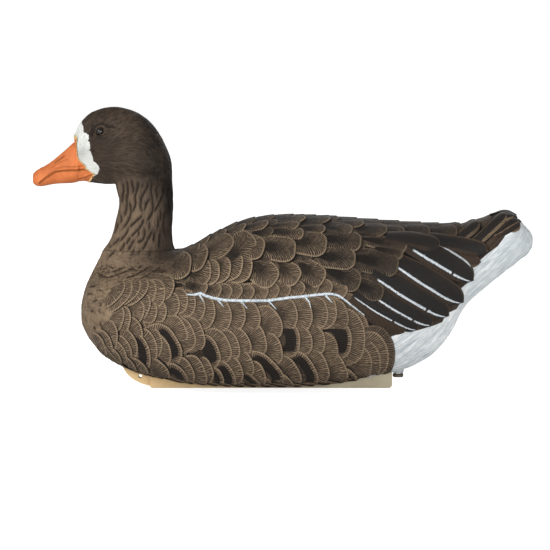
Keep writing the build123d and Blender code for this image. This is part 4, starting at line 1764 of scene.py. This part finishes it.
def neck_tone(points: Array) -> Array:
    """How dark the neck's paint is: pale in front, near black at the nape, where it is partly the neck's own
    dark paint and partly painted shade.

    Args:
        points: Skin vertices in millimetres.

    Returns:
        Tones from 0 to 1.
    """
    x, _, z = points.T
    back = x - np.interp(z, (150, 170, 200, 230, 250), (-182, -178, -172, -170, -168))
    around = ease(-22, 28, back + 0.12 * (JOINT_Z - z))
    return np.clip(0.5 - 0.24 * ease(250, 165, z) + 0.55 * around * (0.55 + 0.45 * ease(15, 34, back)), 0, 1)


def neck_flow(points: Array) -> tuple[Array, Array]:
    """Measures along and across the neck's strokes, which lean with the level."""
    return points[:, 2], np.abs(round_neck(points)) + 0.35 * points[:, 2]


def breast_lean(levels: Array) -> Array:
    """How steeply the breast's strokes rise, by level: falling low down, rising above the middle."""
    return np.interp(levels, (60, 100, 125, 150, 170), (-0.55, -0.2, 0.45, 0.25, 0.1))


def vent_rise(places: Array) -> Array:
    """How steeply the vent's strokes rise, by place along the bird."""
    return np.interp(places, (120, 180, 220, 300), (0.25, 0.7, 1.1, 0.75))


BREAST_CREASES: Sequence[Line] = (
    ((-242, 115), (-236, 114), (-229, 113.5)), ((-240, 121), (-234, 123), (-225, 124)),
    ((-236, 102), (-230, 105), (-223, 108)), ((-227, 121), (-222, 118), (-217, 118)),
    ((-229, 143), (-222, 136), (-212, 134.5), (-203, 137), (-190, 142), (-178, 149)),
    ((-242, 93), (-235, 94)), ((-236, 88), (-231, 97)), ((-217, 151), (-210, 146), (-202, 146)),
    ((-234, 132), (-228, 128)), ((-193, 133), (-178, 138), (-165, 146), (-154, 151)),
    ((-177, 130), (-165, 137), (-155, 143), (-146, 150)), ((-205, 128), (-192, 130), (-184, 128)),
    ((-226, 96), (-219, 104), (-215, 112)), ((-218, 92), (-212, 104)), ((-232, 78), (-228, 66)),
    ((-224, 84), (-221, 70)), ((-160, 131), (-150, 139), (-140, 145)),
    ((-200, 153), (-188, 152), (-176, 156)), ((-180, 143), (-168, 151)),
    ((-210, 140), (-198, 145), (-188, 147)),
)
VENT_EDGE: Line = (
    (93, 9), (105, 12), (120, 19), (131, 29), (136, 42), (135, 52), (132, 61), (147, 67), (165, 69),
    (182, 74), (195, 79), (201, 90), (212, 95), (218, 104), (215, 118), (222, 124), (231, 131), (226, 143),
    (237, 152), (250, 163), (262, 172), (270, 183), (273, 191), (283, 197), (290, 201), (300, 214),
)
BREAST_EDGE: Line = (
    (-222, 30), (-228, 45), (-226, 60), (-222, 74), (-213, 82), (-205, 93), (-200, 104), (-190, 119),
    (-183, 125), (-172, 127), (-160, 128), (-150, 134), (-146, 138), (-135, 136), (-121, 130), (-122, 140),
    (-118, 152), (-112, 163), (-105, 171), (-96, 182),
)


@dataclass(frozen=True)
class NeckSeat:
    """The flat seat on the hull that the neck turns on."""

    floor_z: float = 166.6
    inner: float = 41.9
    outer: float = 46.0
    clearance: float = 0.86


SEAT = NeckSeat()


@dataclass
class HullSkin:
    """The hull's moulded skin, in three stretches: breast, bed under the feathers, vent and tail."""

    chart: HullChart
    bed_from: float = 62.0
    vent_from: float = 228.0
    bed_sink: float = 2.4
    belly_z: float = 28.0
    breast_radius: float = 90.0

    def stretch(self, name: str, first: int, last: int, stride: int) -> tuple[Piece, dict]:
        """One stretch of the chart's grid as a mesh.

        Args:
            name: The piece's name.
            first: First row.
            last: Last row, which is included.
            stride: Rows and columns taken.

        Returns:
            The piece, and its flow measures along and round the hull.
        """
        rows = list(range(first, last, stride)) + [last]
        part = self.chart.grid[rows][:, ::stride]
        tall, wide = part.shape[:2]
        steps = np.linalg.norm(np.roll(part, -1, axis=1) - part, axis=2)
        girth = np.cumsum(steps, axis=1) - steps
        girth = np.abs(girth - girth[:, wide // 2][:, None])
        faces = tube_faces(tall, wide)
        if first == 0:
            faces.append(tuple(range(wide))[::-1])
        if last == self.chart.runs - 1:
            faces.append(tuple(range((tall - 1) * wide, tall * wide)))
        piece = make_mesh(name, part.reshape(-1, 3), faces)
        return piece, {"flow_w": girth.ravel(), "flow_u": np.repeat(self.chart.run_marks()[rows], wide)}

    def dress(self, piece: Piece, traits: dict[str, Array], material: Material) -> None:
        """Stores what the paint reads and finishes the piece.

        Args:
            piece: One stretch.
            traits: Numbers by name, for each vertex or for all.
            material: The skin's paint.
        """
        for name, values in traits.items():
            put_value(piece, name, np.broadcast_to(values, len(piece.data.vertices)))
        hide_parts("body_shell")
        finish_piece(piece, material, "hull")

    def round_breast(self, points: Array) -> Array:
        """Angle round the breast from its front, in radians."""
        return np.arctan2(points[:, 1], -(points[:, 0] - self.chart.spine_x))

    def breast_flow(self, points: Array) -> Array:
        """Strokes wrap level round the breast, rising a little above its middle and falling below it.

        Args:
            points: Skin vertices in millimetres.

        Returns:
            A direction for each row.
        """
        around = self.round_breast(points)
        sign = np.where(points[:, 1] < 0, -1.0, 1.0)
        return np.stack([np.sin(np.abs(around)), sign * np.cos(around), breast_lean(points[:, 2])], axis=1)

    def breast(self, material: Material, last: int) -> None:
        """Breast, neck base and saddle: tufts near the neck, wrinkles elsewhere, sunk under the feathers.

        Args:
            material: The skin's paint.
            last: The chart's row where the stretch ends.
        """
        piece, flow = self.stretch("breast_skin", 0, last, 1)
        points, normals = vertex_array(piece), normal_array(piece)
        x, y, z = points.T
        flat = DRAWING.flat(points)
        covered = inside(flat, [*BREAST_EDGE, (60, 300), (60, -60), (-222, -60)]) | (z < self.belly_z)
        under = np.where(covered, ease(0, 4, line_distance(flat, BREAST_EDGE)), 0.0)
        off_axis = np.hypot(x - NECK_AXIS_X, y)
        near_neck = ease(146, 160, z) * ease(78, 54, off_axis)
        deck = ease(166.9, 167.7, z) * (np.abs(x - NECK_AXIS_X) < SEAT.outer) * (off_axis < SEAT.outer + 1)
        front, back = ease(-196, -226, x), ease(-205, -150, x) * ease(112, 160, z)
        saddle = ease(112, 140, z) * (1 - under)
        weight = ((1 - under) * (1 - 0.9 * near_neck) + 1e-6) * (1.1 - 0.3 * front)
        wrinkles = Strokes(1100, 19.0, 0.6, 0.4, 0.012, 3).carve(points, normals, weight, self.breast_flow)
        gap = np.min([groove_gap(flat, line) for line in BREAST_CREASES], axis=0)
        creases = -1.3 * bell(gap, 0.9) * ease(8, 20, np.abs(y))
        nicks = Strokes(1800, 7.0, 0.6, 0.5, 0.02, 8).carve(points, normals, saddle + 0.02, self.breast_flow)
        grain = 0.7 * saddle * rough(points, 2.6, 5.0)
        skin = np.minimum(creases, np.minimum(wrinkles, nicks * 0.5)) + 0.3 * rough(points, 6.0, 1.0)
        heights = near_neck * neck_relief(points) + (1 - near_neck) * skin + grain
        heights = (heights * (1 - under) - self.bed_sink * under) * (1 - deck)
        tone = near_neck * neck_tone(points) + (1 - near_neck) * (0.2 + 0.3 * back + 0.06 * front)
        relief = near_neck * (0.56 + 0.4 * heights) + (1 - near_neck) * (0.86 + 0.8 * heights)
        push(piece, heights)
        # Painted light and shade: relief slopes turned forwards and up, towards the key lamp, are painted
        # lighter, the others darker.
        relief += 0.4 * brushed(normals, normal_array(piece)) + 0.15 * grain
        self.close_rim(piece)
        around = np.abs(self.round_breast(points)) * self.breast_radius
        # Painted shade: under the feathers the skin is painted darker and flatter, where it shows between
        # them.
        self.dress(piece, {
            **flow, "tone": tone + 0.25 * under, "relief": np.clip(relief, 0, 1) * (1 - under) + 0.2 * under,
            "white_mm": -WELL_INSIDE, "cool": 1.0, "crease": (1 - 0.6 * near_neck) * (0.5 + 0.15 * saddle),
            "flow_u": around, "flow_w": z - breast_lean(z) * around,
        }, material)

    @staticmethod
    def close_rim(piece: Piece) -> None:
        """Draws the edge round the neck's seat up sharp, so that the neck's skin meets it without a gap.

        Args:
            piece: The breast's skin, which is changed.
        """
        points = vertex_array(piece)
        axis = np.array([NECK_AXIS_X, 0.0])
        out = points[:, :2] - axis
        radius = np.linalg.norm(out, axis=1)
        rim = (points[:, 2] > SEAT.floor_z) & (radius > SEAT.inner) & (radius < SEAT.outer)
        points[rim, :2] = axis + out[rim] / radius[rim, None] * JOINT_RADIUS
        points[rim, 2] = JOINT_Z - SEAT.clearance
        set_vertices(piece, points)

    def bed(self, material: Material, first: int, last: int) -> None:
        """The sunk bed under flank, wing and back feathers, painted dark as the shade that shows between
        them.

        Args:
            material: The skin's paint.
            first: The chart's row where the stretch starts.
            last: The row where it ends.
        """
        piece, flow = self.stretch("flank_bed", first, last, 3)
        push(piece, np.full(len(piece.data.vertices), -self.bed_sink))
        # Painted shade: the bed is dark brown with low relief, where it shows between the feathers.
        self.dress(piece, {
            **flow, "tone": 0.8, "relief": 0.2, "white_mm": -WELL_INSIDE, "cool": 1.0, "crease": 0.0,
        }, material)

    def vent(self, material: Material, first: int) -> None:
        """Vent and tail: white with grooves that run back, brown where feathers end.

        Args:
            material: The skin's paint.
            first: The chart's row where the stretch starts.
        """
        piece, flow = self.stretch("vent_skin", first, self.chart.runs - 1, 1)
        points, normals = vertex_array(piece), normal_array(piece)
        x, y, z = points.T
        flat = DRAWING.flat(points)
        white = signed_gap(flat, [*VENT_EDGE, (340, 214), (340, -60), (93, -60)], VENT_EDGE)
        white = np.where((z < 30) & (x > 100), WELL_INSIDE, white)
        under = ease(-3, -9, white)
        grooves = Strokes(1800, 46.0, 0.7, 0.75, 0.002, 5).carve(
            points, normals, ease(-6, 0, white) + 1e-6, self.tail_flow)
        waves = 0.7 * rough(points * np.array([0.35, 1, 1]), 9.0, 6.0)
        heights = (grooves + waves) * (1 - under) - self.bed_sink * under
        seam_x = self.chart.spine_x + self.vent_from
        start = ease(seam_x, seam_x + 6, x)
        heights = heights * start - self.bed_sink * (1 - start) * (white < 0)
        relief = np.clip(0.9 + 0.7 * grooves + 0.2 * waves, 0, 1)
        rise = vent_rise(x)
        push(piece, heights)
        self.dress(piece, {
            **flow, "tone": 0.8, "relief": relief, "white_mm": white, "cool": 1.0, "crease": 0.35,
            "flow_u": x + rise * z, "flow_w": np.abs(y) * 0.6 + z - rise * (x - 200) * 0.9,
        }, material)

    @staticmethod
    def tail_flow(points: Array) -> Array:
        """Grooves rise towards the tail, more steeply under it."""
        return np.stack([np.ones(len(points)), np.zeros(len(points)), vent_rise(points[:, 0])], axis=1)

    def build(self, material: Material) -> None:
        """Makes and dresses the three stretches.

        Args:
            material: The skin's paint.
        """
        marks = self.chart.run_marks()
        bed, vent = (int(np.searchsorted(marks, run)) for run in (self.bed_from, self.vent_from))
        self.breast(material, bed)
        self.bed(material, bed, vent)
        self.vent(material, vent)


@dataclass
class WingEdge:
    """The white painted line along the wing's lower edge, with its short strokes."""

    chart: HullChart
    wing: WingTract
    half: float = 1.5
    marks: int = 90

    def strip(self, mesh: tuple[list, list], route: Line, side: Side, widths: Sequence[float]) -> None:
        """Adds one raised strip.

        Args:
            mesh: Points and faces that gather it.
            route: Its middle on the drawing.
            side: Which flank.
            widths: Half its width at each place of the route.
        """
        points, faces = mesh
        rng = random.Random(len(points))
        start = len(points)
        ends = [Vector((x, 0, level)) for x, level in route]
        for number, (spot, width) in enumerate(zip(ends, widths)):
            ahead = (ends[min(number + 1, len(ends) - 1)] - ends[max(number - 1, 0)]).normalized()
            cross = Vector((-ahead.z, 0, ahead.x))
            for t, lift in ((-1.0, 0.4), (-0.8, 2.8), (0.0, 3.2), (0.8, 2.8), (1.0, 0.4)):
                flat = spot + cross * (t * width * rng.uniform(0.85, 1.15))
                hit = self.chart.sight(flat.x, flat.z, side)
                points.append(tuple(hit + self.chart.outward(hit) * lift))
        order = (0, 5, 6, 1) if side is Side.LEFT else (0, 1, 6, 5)
        for number in range(len(ends) - 1):
            for c in range(4):
                faces.append(tuple(start + number * 5 + c + o for o in order))

    def build(self, material: Material) -> None:
        """Makes the strips of both sides as one piece.

        Args:
            material: The line's paint.
        """
        mesh = ([], [])
        edge, marks = self.wing.edge_line, self.marks
        route = [(x, blend(edge, x)) for x in np.linspace(edge[0][0], edge[-1][0], marks)]
        widths = [self.half * min(1.1, 0.3 + n / 8, 0.3 + (marks - 1 - n) / 22) for n in range(marks)]
        for side in Side:
            self.strip(mesh, route, side, widths)
            for tick in self.wing.ticks:
                places = np.linspace(0, len(tick) - 1, 7)
                line = list(zip(*(np.interp(places, range(len(tick)), given) for given in zip(*tick))))
                self.strip(mesh, line, side, [self.half * (0.85 - 0.6 * s / places[-1]) for s in places])
        piece = make_mesh("wing_edge_line", np.array(mesh[0]), mesh[1])
        finish_piece(piece, material, "hull")


# ---- head and bill
BILL_BASE: Line = (
    (-254, 304), (-250, 302.5), (-250.5, 295), (-250, 287), (-249, 280), (-247, 276), (-243, 273),
    (-239.5, 269), (-239, 267), (-234, 263), (-229, 260), (-231, 257), (-234, 253), (-237, 249), (-238, 238),
)
PATCH_REAR: Line = (
    (-244.5, 328), (-244, 321), (-242, 317), (-242, 310.5), (-239, 310), (-236, 307), (-235.5, 302.5),
    (-237.5, 300.5), (-235, 299), (-234, 291.5), (-236, 289), (-234, 288), (-231.5, 281), (-230.5, 276),
    (-227.5, 273.5), (-224, 270), (-223, 266), (-225, 261), (-229, 258),
)
BROW: Line = (
    (-232, 307), (-230.5, 314), (-227.5, 319), (-222, 322), (-216, 320.5), (-212, 318), (-205, 317.5),
)
LORE: Line = ((-235, 309), (-232, 312), (-231, 319))
LIDS: Sequence[Line] = (
    ((-228, 310.5), (-225, 307.5), (-220, 306.5), (-214.5, 309)),
    ((-227, 304.5), (-220, 302.5), (-213, 305.5)),
)
# Each fold: its line, its width, how deep it is cut, and how dark it is painted, which is partly its own
# colour and partly painted shade in the crease.
BILL_FOLDS: Sequence[tuple[Line, float, float, float]] = (
    (((-296, 249.5), (-289, 255.3), (-277.6, 262.6), (-266.4, 264.3), (-250, 265), (-239.7, 266.3)),
     1.25, 1.8, 0.9),
    (((-276, 266.7), (-264.8, 269), (-253.5, 268.6), (-240.6, 271)), 1.1, 0.9, 0.5),
    (((-250, 254), (-239, 257), (-231.6, 260.4)), 0.9, 1.3, 0.7),
    (((-246, 251.5), (-236, 255)), 0.8, 0.9, 0.5),
    (((-277, 273.3), (-266.3, 281)), 1.0, 1.3, 0.75),
    (((-281, 268), (-270, 274.5), (-262, 278)), 0.9, 0.7, 0.45),
)
EYE_PLACE = (-220.5, 313.5)
EYE_RIM = 5.4
BILL_ROOT = (-245.0, 285.0)


@dataclass
class Head:
    """Skin of head and neck, and the bill."""

    voxel: float = 1.0
    smooth_rounds: int = 10
    bill_tip: float = -304.1
    bill_back: float = -224.0
    bill_ring: int = 110
    stroke_start: tuple[float, float] = (339.0, 155.7)

    def skin(self, material: Material) -> None:
        """Head and neck, remeshed from the moulding's outside and carved.

        Args:
            material: The skin's paint.
        """
        piece = link_object("head_skin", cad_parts["head_shell"].data.copy())
        piece.data.name = "head_skin"
        piece.data.materials.clear()
        keep_outer_shell(piece)
        remesh = piece.modifiers.new("remesh", "REMESH")
        remesh.mode = "VOXEL"
        remesh.voxel_size = self.voxel * MM
        smooth = piece.modifiers.new("smooth", "SMOOTH")
        smooth.factor, smooth.iterations = 0.5, self.smooth_rounds
        apply_modifiers(piece)
        piece.data.polygons.foreach_set("use_smooth", [True] * len(piece.data.polygons))
        self.carve(piece)
        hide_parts("head_shell")
        finish_piece(piece, material, "head")

    def carve(self, piece: Piece) -> None:
        """Neck tufts, brow and lids, fine feather strokes, and the numbers that the paint reads.

        Args:
            piece: The smooth skin, which is changed.
        """
        set_vertices(piece, JointSleeve().draw_down(vertex_array(piece)))
        points, normals = vertex_array(piece), normal_array(piece)
        x, y, z = points.T
        flat = DRAWING.flat(points)
        neck = ease(260, 246, z + 0.25 * (x - NECK_AXIS_X))
        face = 1 - ease(262, 246, z)
        fine = Strokes(2600, 8.0, 0.75, 0.6, 0.01, 4).carve(points, normals, face + 1e-6, self.face_flow)
        streaks = Strokes(2200, 9.0, 0.65, 0.4, 0.01, 6).carve(points, normals, neck + 1e-6, self.upright)
        heights = neck * (neck_relief(points) + streaks) + (1 - neck) * fine
        brow, lore = line_distance(flat, BROW), line_distance(flat, LORE)
        lids = np.min([line_distance(flat, line) for line in LIDS], axis=0)
        eye = np.hypot(flat[:, 0] - EYE_PLACE[0], flat[:, 1] - EYE_PLACE[1])
        cuts = 1.3 * bell(brow, 1.3) + 0.9 * bell(lore, 1.8) + 0.5 * bell(lids, 0.9)
        heights += (np.abs(y) > 9) * (0.7 * bell(eye - EYE_RIM, 0.9) - cuts)
        bill = signed_gap(flat, bill_outline(), BILL_BASE)
        heights = np.where(bill > 0, -2.2 * ease(0, 2.5, bill), heights)
        heights = np.where(z < JOINT_Z + 1.5, np.minimum(heights, 0.5), heights)
        heights *= np.abs(normals[:, 2]) < 0.8 + 1.0 * (z > JOINT_Z + 4)
        push(piece, heights)
        relief = neck * (0.56 + 0.4 * heights) + (1 - neck) * (0.78 + 0.75 * heights)
        # Painted light and shade: relief slopes turned forwards and up, towards the key lamp, are painted
        # lighter, the others darker.
        relief += (0.2 + 0.3 * neck) * brushed(normals, normal_array(piece))
        patch = [*PATCH_REAR, *reversed(BILL_BASE[:11]), (-270, 304), (-270, 330)]
        white = np.where(bill > -0.2, -WELL_INSIDE, signed_gap(flat, patch, PATCH_REAR))
        reach = np.hypot(x - BILL_ROOT[0], z - BILL_ROOT[1]) - 0.9 * np.abs(y)
        bearing = np.arctan2(z - BILL_ROOT[1], x - BILL_ROOT[0]) * 40
        along, across = neck_flow(points)
        start, aside = self.stroke_start
        for name, values in (
            ("tone", np.clip(self.tone(points), 0, 1)), ("relief", np.clip(relief, 0, 1)),
            ("white_mm", white), ("cool", np.zeros(len(points))), ("crease", 0.22 * (1 - neck)),
            ("flow_u", neck * (start - along) + (1 - neck) * reach),
            ("flow_w", neck * (across - aside) + (1 - neck) * bearing),
        ):
            put_value(piece, name, values)

    @staticmethod
    def tone(points: Array) -> Array:
        """How dark head and neck are: an even dark head that turns into the neck's shades below the cheek.

        Args:
            points: Skin vertices in millimetres.

        Returns:
            Tones, darker as they rise.
        """
        x, _, z = points.T
        # The head darkens towards the crown's top and towards the back; the back's darkening is partly
        # painted shade on the side away from the key lamp.
        crown = 0.76 + 0.06 * ease(318, 338, z) + 0.16 * ease(-190, -150, x)
        upper = ease(236, 268, z + 0.2 * (x - NECK_AXIS_X) + 3 * rough(points, 9.0, 2.0))
        upper = np.maximum(upper, ease(-198, -206, x) * ease(244, 250, z))
        return (1 - upper) * neck_tone(points) + upper * crown

    @staticmethod
    def smoothed(points: Array, ring: int) -> Array:
        """Evens out the step where the bill's moulding runs into the chin.

        Args:
            points: The bill's points, ring after ring.
            ring: Points in each ring.

        Returns:
            The moved rows.
        """
        rows = points.reshape(-1, ring, 3)
        part = (ease(-262, -254, rows[:, :1, 0]) * ease(-228, -234, rows[:, :1, 0]))[:, :, None]
        soft = rows.copy()
        for _ in range(60):
            inner = (soft[:-2] + soft[2:] + 2 * soft[1:-1]) / 4
            soft[1:-1, :, 1:] = inner[:, :, 1:]
        low = ease(2, -4, rows[:, :, 2] - np.interp(rows[:, :, 0], (-290, -229), (258, 268)))[:, :, None]
        return (rows + (soft - rows) * part * low).reshape(-1, 3)

    @staticmethod
    def upright(points: Array) -> Array:
        """Strokes run down the neck, a little backwards."""
        return np.tile([0.12, 0.0, 1.0], (len(points), 1))

    @staticmethod
    def face_flow(points: Array) -> Array:
        """Strokes sweep back from the bill's base and droop towards the neck.

        Args:
            points: Skin vertices in millimetres.

        Returns:
            A direction for each row.
        """
        out = points - np.array([-262.0, 0.0, 285.0])
        out[:, 1] = 0
        out /= np.linalg.norm(out, axis=1)[:, None] + 1e-9
        part = ease(-190, -140, points[:, 0])[:, None]
        down = np.array([0.35, 0, -0.9])
        return out * (1 - part) + down * part

    def bill_points(self, stations: Array) -> Array:
        """The bill's outside, cast on the moulding in rings.

        Args:
            stations: Places along the bird, one for each ring.

        Returns:
            Rows of points in millimetres, ring after ring.
        """
        tree = tree_of("head_shell")
        levels = np.interp(stations, (-304, -295, -276, -256, -224), (254.5, 255.5, 262, 270, 275))
        points = []
        for x, level in zip(stations, levels):
            centre = Vector((x, 0, level))
            for turn in np.linspace(0, 2 * math.pi, self.bill_ring, endpoint=False):
                ray = Vector((0, math.sin(turn), math.cos(turn)))
                points.append(tuple(tree.ray_cast(centre + ray * 120, -ray)[0] or centre))
        return self.smoothed(np.array(points), self.bill_ring)

    def bill(self, material: Material) -> None:
        """The bill, carved along its folds.

        Args:
            material: The bill's paint.
        """
        nose = self.bill_tip + 4 * np.linspace(0, 1, 8) ** 2
        stations = np.concatenate([nose, np.linspace(self.bill_tip + 4.5, self.bill_back, 100)])
        points, ring = self.bill_points(stations), self.bill_ring
        flat = DRAWING.flat(points)
        keep = signed_gap(flat, bill_outline(), BILL_BASE)
        faces = [face for face in tube_faces(len(stations), ring) if any(keep[v] > 0 for v in face)]
        faces.append(tuple(range(ring))[::-1])
        piece = make_mesh("bill", points, faces)
        flank = ease(1.0, 4.0, np.abs(points[:, 1]))
        nail = 0.5 * bell(points[:, 0] + 294.5, 1.1) * (points[:, 2] > 256)
        # Fold darkening is partly the bill's own paint and partly painted shade in the creases.
        depth, fold_paint_and_shade = 0.0, 0.0
        for line, width, deep, dark in BILL_FOLDS:
            cut = bell(line_distance(flat, line), width)
            depth, fold_paint_and_shade = depth + deep * cut, fold_paint_and_shade + dark * cut
        push(piece, 0.55 * ease(0, 2.2, keep) - 1.2 * ease(0.3, -0.8, keep) - nail - flank * depth)
        put_value(piece, "fold", np.clip(flank * fold_paint_and_shade, 0, 1))
        put_value(piece, "base_mm", np.maximum(keep, 0))
        finish_piece(piece, material, "head")


@dataclass(frozen=True)
class JointSleeve:
    """Where head and hull skins meet: the head's lower edge is drawn down over the seal."""

    seal_radius: float = 42.4
    edge_z: float = 168.35
    reach: float = 3.0
    wall: float = 2.2

    def draw_down(self, points: Array) -> Array:
        """The points with the head's lower edge squared off and lowered.

        Args:
            points: Skin vertices in millimetres.

        Returns:
            The moved rows.
        """
        moved = points.copy()
        tree = tree_of("head_shell")
        axis = np.array([NECK_AXIS_X, 0.0])
        for number in np.nonzero(points[:, 2] < JOINT_Z + self.reach)[0]:
            out = points[number, :2] - axis
            radius = float(np.linalg.norm(out))
            if radius < self.seal_radius - 2.0:
                continue
            way = Vector((out[0] / radius, out[1] / radius, 0))
            level = max(float(points[number, 2]), JOINT_Z + 0.5)
            hit = tree.ray_cast(Vector((*axis, level)) + way * 150, -way)[0]
            if hit is None:
                continue
            full = math.hypot(hit.x - axis[0], hit.y)
            if radius > full - self.wall:
                moved[number, :2] = axis + out / radius * full
                part = min(max((points[number, 2] - JOINT_Z) / self.reach, 0), 1)
                moved[number, 2] = self.edge_z + (JOINT_Z + self.reach - self.edge_z) * part
        return moved


def bill_outline() -> list[tuple[float, float]]:
    """The closed outline of the bill on the drawing."""
    return [(-330, 233), (-330, 306), *BILL_BASE, (-238, 233)]


def keep_outer_shell(piece: Piece) -> None:
    """Drops the closed inner walls of a hollow moulding, keeping the island that reaches furthest.

    Args:
        piece: The moulding, which is changed.
    """
    work = bmesh.new()
    work.from_mesh(piece.data)
    bmesh.ops.remove_doubles(work, verts=work.verts, dist=1e-6)
    left, islands = set(work.verts), []
    while left:
        found, edge = set(), [next(iter(left))]
        while edge:
            vert = edge.pop()
            if vert in found:
                continue
            found.add(vert)
            edge.extend(e.other_vert(vert) for e in vert.link_edges)
        islands.append(found)
        left -= found
    widest = min(islands, key=lambda group: min(v.co.x for v in group))
    bmesh.ops.delete(work, geom=[v for v in work.verts if v not in widest], context="VERTS")
    work.to_mesh(piece.data)
    work.free()


def apply_modifiers(piece: Piece) -> None:
    """Applies every modifier of a piece, in order.

    Args:
        piece: The piece, which is changed.
    """
    bpy.ops.object.select_all(action="DESELECT")
    bpy.context.view_layer.objects.active = piece
    piece.select_set(True)
    for modifier in list(piece.modifiers):
        bpy.ops.object.modifier_apply(modifier=modifier.name)
    piece.select_set(False)


# ---- studio
@dataclass
class Studio:
    """Pale floor, soft lamps and the camera."""

    lens: float = 161.0
    lamp_aim: float = 0.12
    floor_z: float = -0.0004

    @staticmethod
    def point_at(thing: Piece, place: Vector, aim: Vector) -> None:
        """Stands a lamp or camera at a place and turns it to an aim."""
        thing.location = place
        thing.rotation_euler = (aim - place).to_track_quat("-Z", "Y").to_euler()

    def floor(self) -> None:
        """A wide pale floor that is white to the camera except in the object's shadow."""
        bpy.ops.object.select_all(action="DESELECT")
        bpy.ops.mesh.primitive_plane_add(size=40, location=(0, 0, self.floor_z))
        floor = bpy.context.active_object
        floor.name = "studio_floor"
        material = bpy.data.materials.new("studio_floor")
        material.use_nodes = True
        desk = Desk(material.node_tree)
        shader = material.node_tree.nodes["Principled BSDF"]
        shader.inputs["Base Color"].default_value = (0.93, 0.93, 0.93, 1)
        shader.inputs["Roughness"].default_value = 0.9
        shader.inputs["Specular IOR Level"].default_value = 0.0
        shader.inputs["Emission Color"].default_value = (1, 1, 1, 1)
        desk.feed(shader.inputs["Emission Strength"], desk.camera_ray() * 0.85)
        floor.data.materials.append(material)

    def lamps(self) -> None:
        """A bright even world with a soft key from above the bird's breast."""
        world = bpy.data.worlds.new("studio")
        bpy.context.scene.world = world
        world.use_nodes = True
        desk = Desk(world.node_tree)
        background = world.node_tree.nodes["Background"]
        background.inputs["Color"].default_value = (1, 1, 1, 1)
        desk.feed(background.inputs["Strength"], desk.camera_ray() * 0.65 + 0.35)
        for name, energy, wide, tall, place in (
            ("key", 54.0, 0.9, 0.9, (-2.3, -2.0, 1.7)),
            ("low_front", 41.0, 2.8, 0.5, (0.3, -2.7, 0.27)),
            ("tail_fill", 9.0, 1.0, 0.6, (2.3, -1.3, 0.5)),
            ("back", 20.0, 2.0, 1.4, (0.6, 2.6, 1.4)),
        ):
            lamp = link_object(name, bpy.data.lights.new(name, "AREA"))
            lamp.data.shape = "RECTANGLE"
            lamp.data.energy, lamp.data.size, lamp.data.size_y = energy, wide, tall
            self.point_at(lamp, Vector(place), Vector((0, 0, self.lamp_aim)))

    def camera(self) -> None:
        """A long lens where the drawing's eye stands, square to the bird's left side."""
        camera = link_object("camera", bpy.data.cameras.new("camera"))
        camera.data.lens = self.lens
        self.point_at(camera, DRAWING.eye(Side.LEFT) * MM, Vector((DRAWING.aim_x, 0, DRAWING.aim_z)) * MM)
        bpy.context.scene.camera = camera

    def build(self) -> None:
        """Sets the whole stage."""
        self.floor()
        self.lamps()
        self.camera()
        bpy.context.scene.view_settings.view_transform = "Standard"


def dress_node(node: str, material: Material) -> None:
    """Gives a CAD node its finish.

    Args:
        node: The node's name.
        material: The finish.
    """
    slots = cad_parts[node].data.materials
    slots.clear()
    slots.append(material)


def main() -> None:
    """Builds the sub-assemblies in order and reports each piece."""
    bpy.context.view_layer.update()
    groups = {"barbs": barb_group(), "mottle": mottle_group()}
    feather, quill, skin = (kind(groups).build() for kind in (FeatherPaint, QuillPaint, SkinPaint))
    chart = HullChart()
    HullSkin(chart).build(skin)
    wing = WingTract(chart)
    belly, flank, mantle, tail = BellyTract(chart), FlankTract(chart), MantleTract(chart), TailTract(chart)
    for side in Side:
        word = side.name.lower()
        for name, paint, grow in (
            ("belly_feathers", feather, lambda coat: belly.grow(coat, side, random.Random(11))),
            ("flank_feathers", feather, lambda coat: flank.grow(coat, side, random.Random(3))),
            ("wing_feathers", feather, lambda coat: wing.grow_short(coat, side, random.Random(5))),
            ("wing_quills", quill, lambda coat: wing.grow_long(coat, side)),
        ):
            Coat(chart, f"{name}_{word}").fill(grow, paint)
    Coat(chart, "back_feathers").fill(lambda coat: mantle.grow(coat, random.Random(7)), feather)
    Coat(chart, "tail_feathers").fill(tail.grow, quill)
    WingEdge(chart, wing).build(LinePaint(groups).build())
    head = Head()
    head.skin(skin)
    head.bill(BillPaint(groups).build())
    eye, steel, rubber = (kind(groups).build() for kind in (EyeGloss, SteelPaint, RubberPaint))
    socket = MouldedPaint(groups, "joint_plastic", (SOCKET_FRONT, SOCKET_REAR), (-200, -130)).build()
    finishes = {
        "eye_left": eye, "eye_right": eye,
        "keel": MouldedPaint(groups, "keel_plastic", (TAN, KHAKI), (-150, 90)).build(),
        "drain_bung": MouldedPaint(groups, "bung_plastic", (PLUG_FRONT, PLUG_REAR), (0, 1)).build(),
        "keel_ballast": CastIron(groups).build(), "neck_socket": socket, "neck_spigot": socket,
        "keel_screws": steel, "socket_screws": steel, "spigot_screws": steel,
        "neck_gasket": rubber, "spigot_orings": rubber, "bung_seal": rubber,
    }
    for node, material in finishes.items():
        dress_node(node, material)
    LOG.info("CAD nodes dressed: %d", len(finishes))
    Studio().build()


if __name__ == "__main__":
    logging.basicConfig(level=logging.INFO, format="%(message)s")
    main()
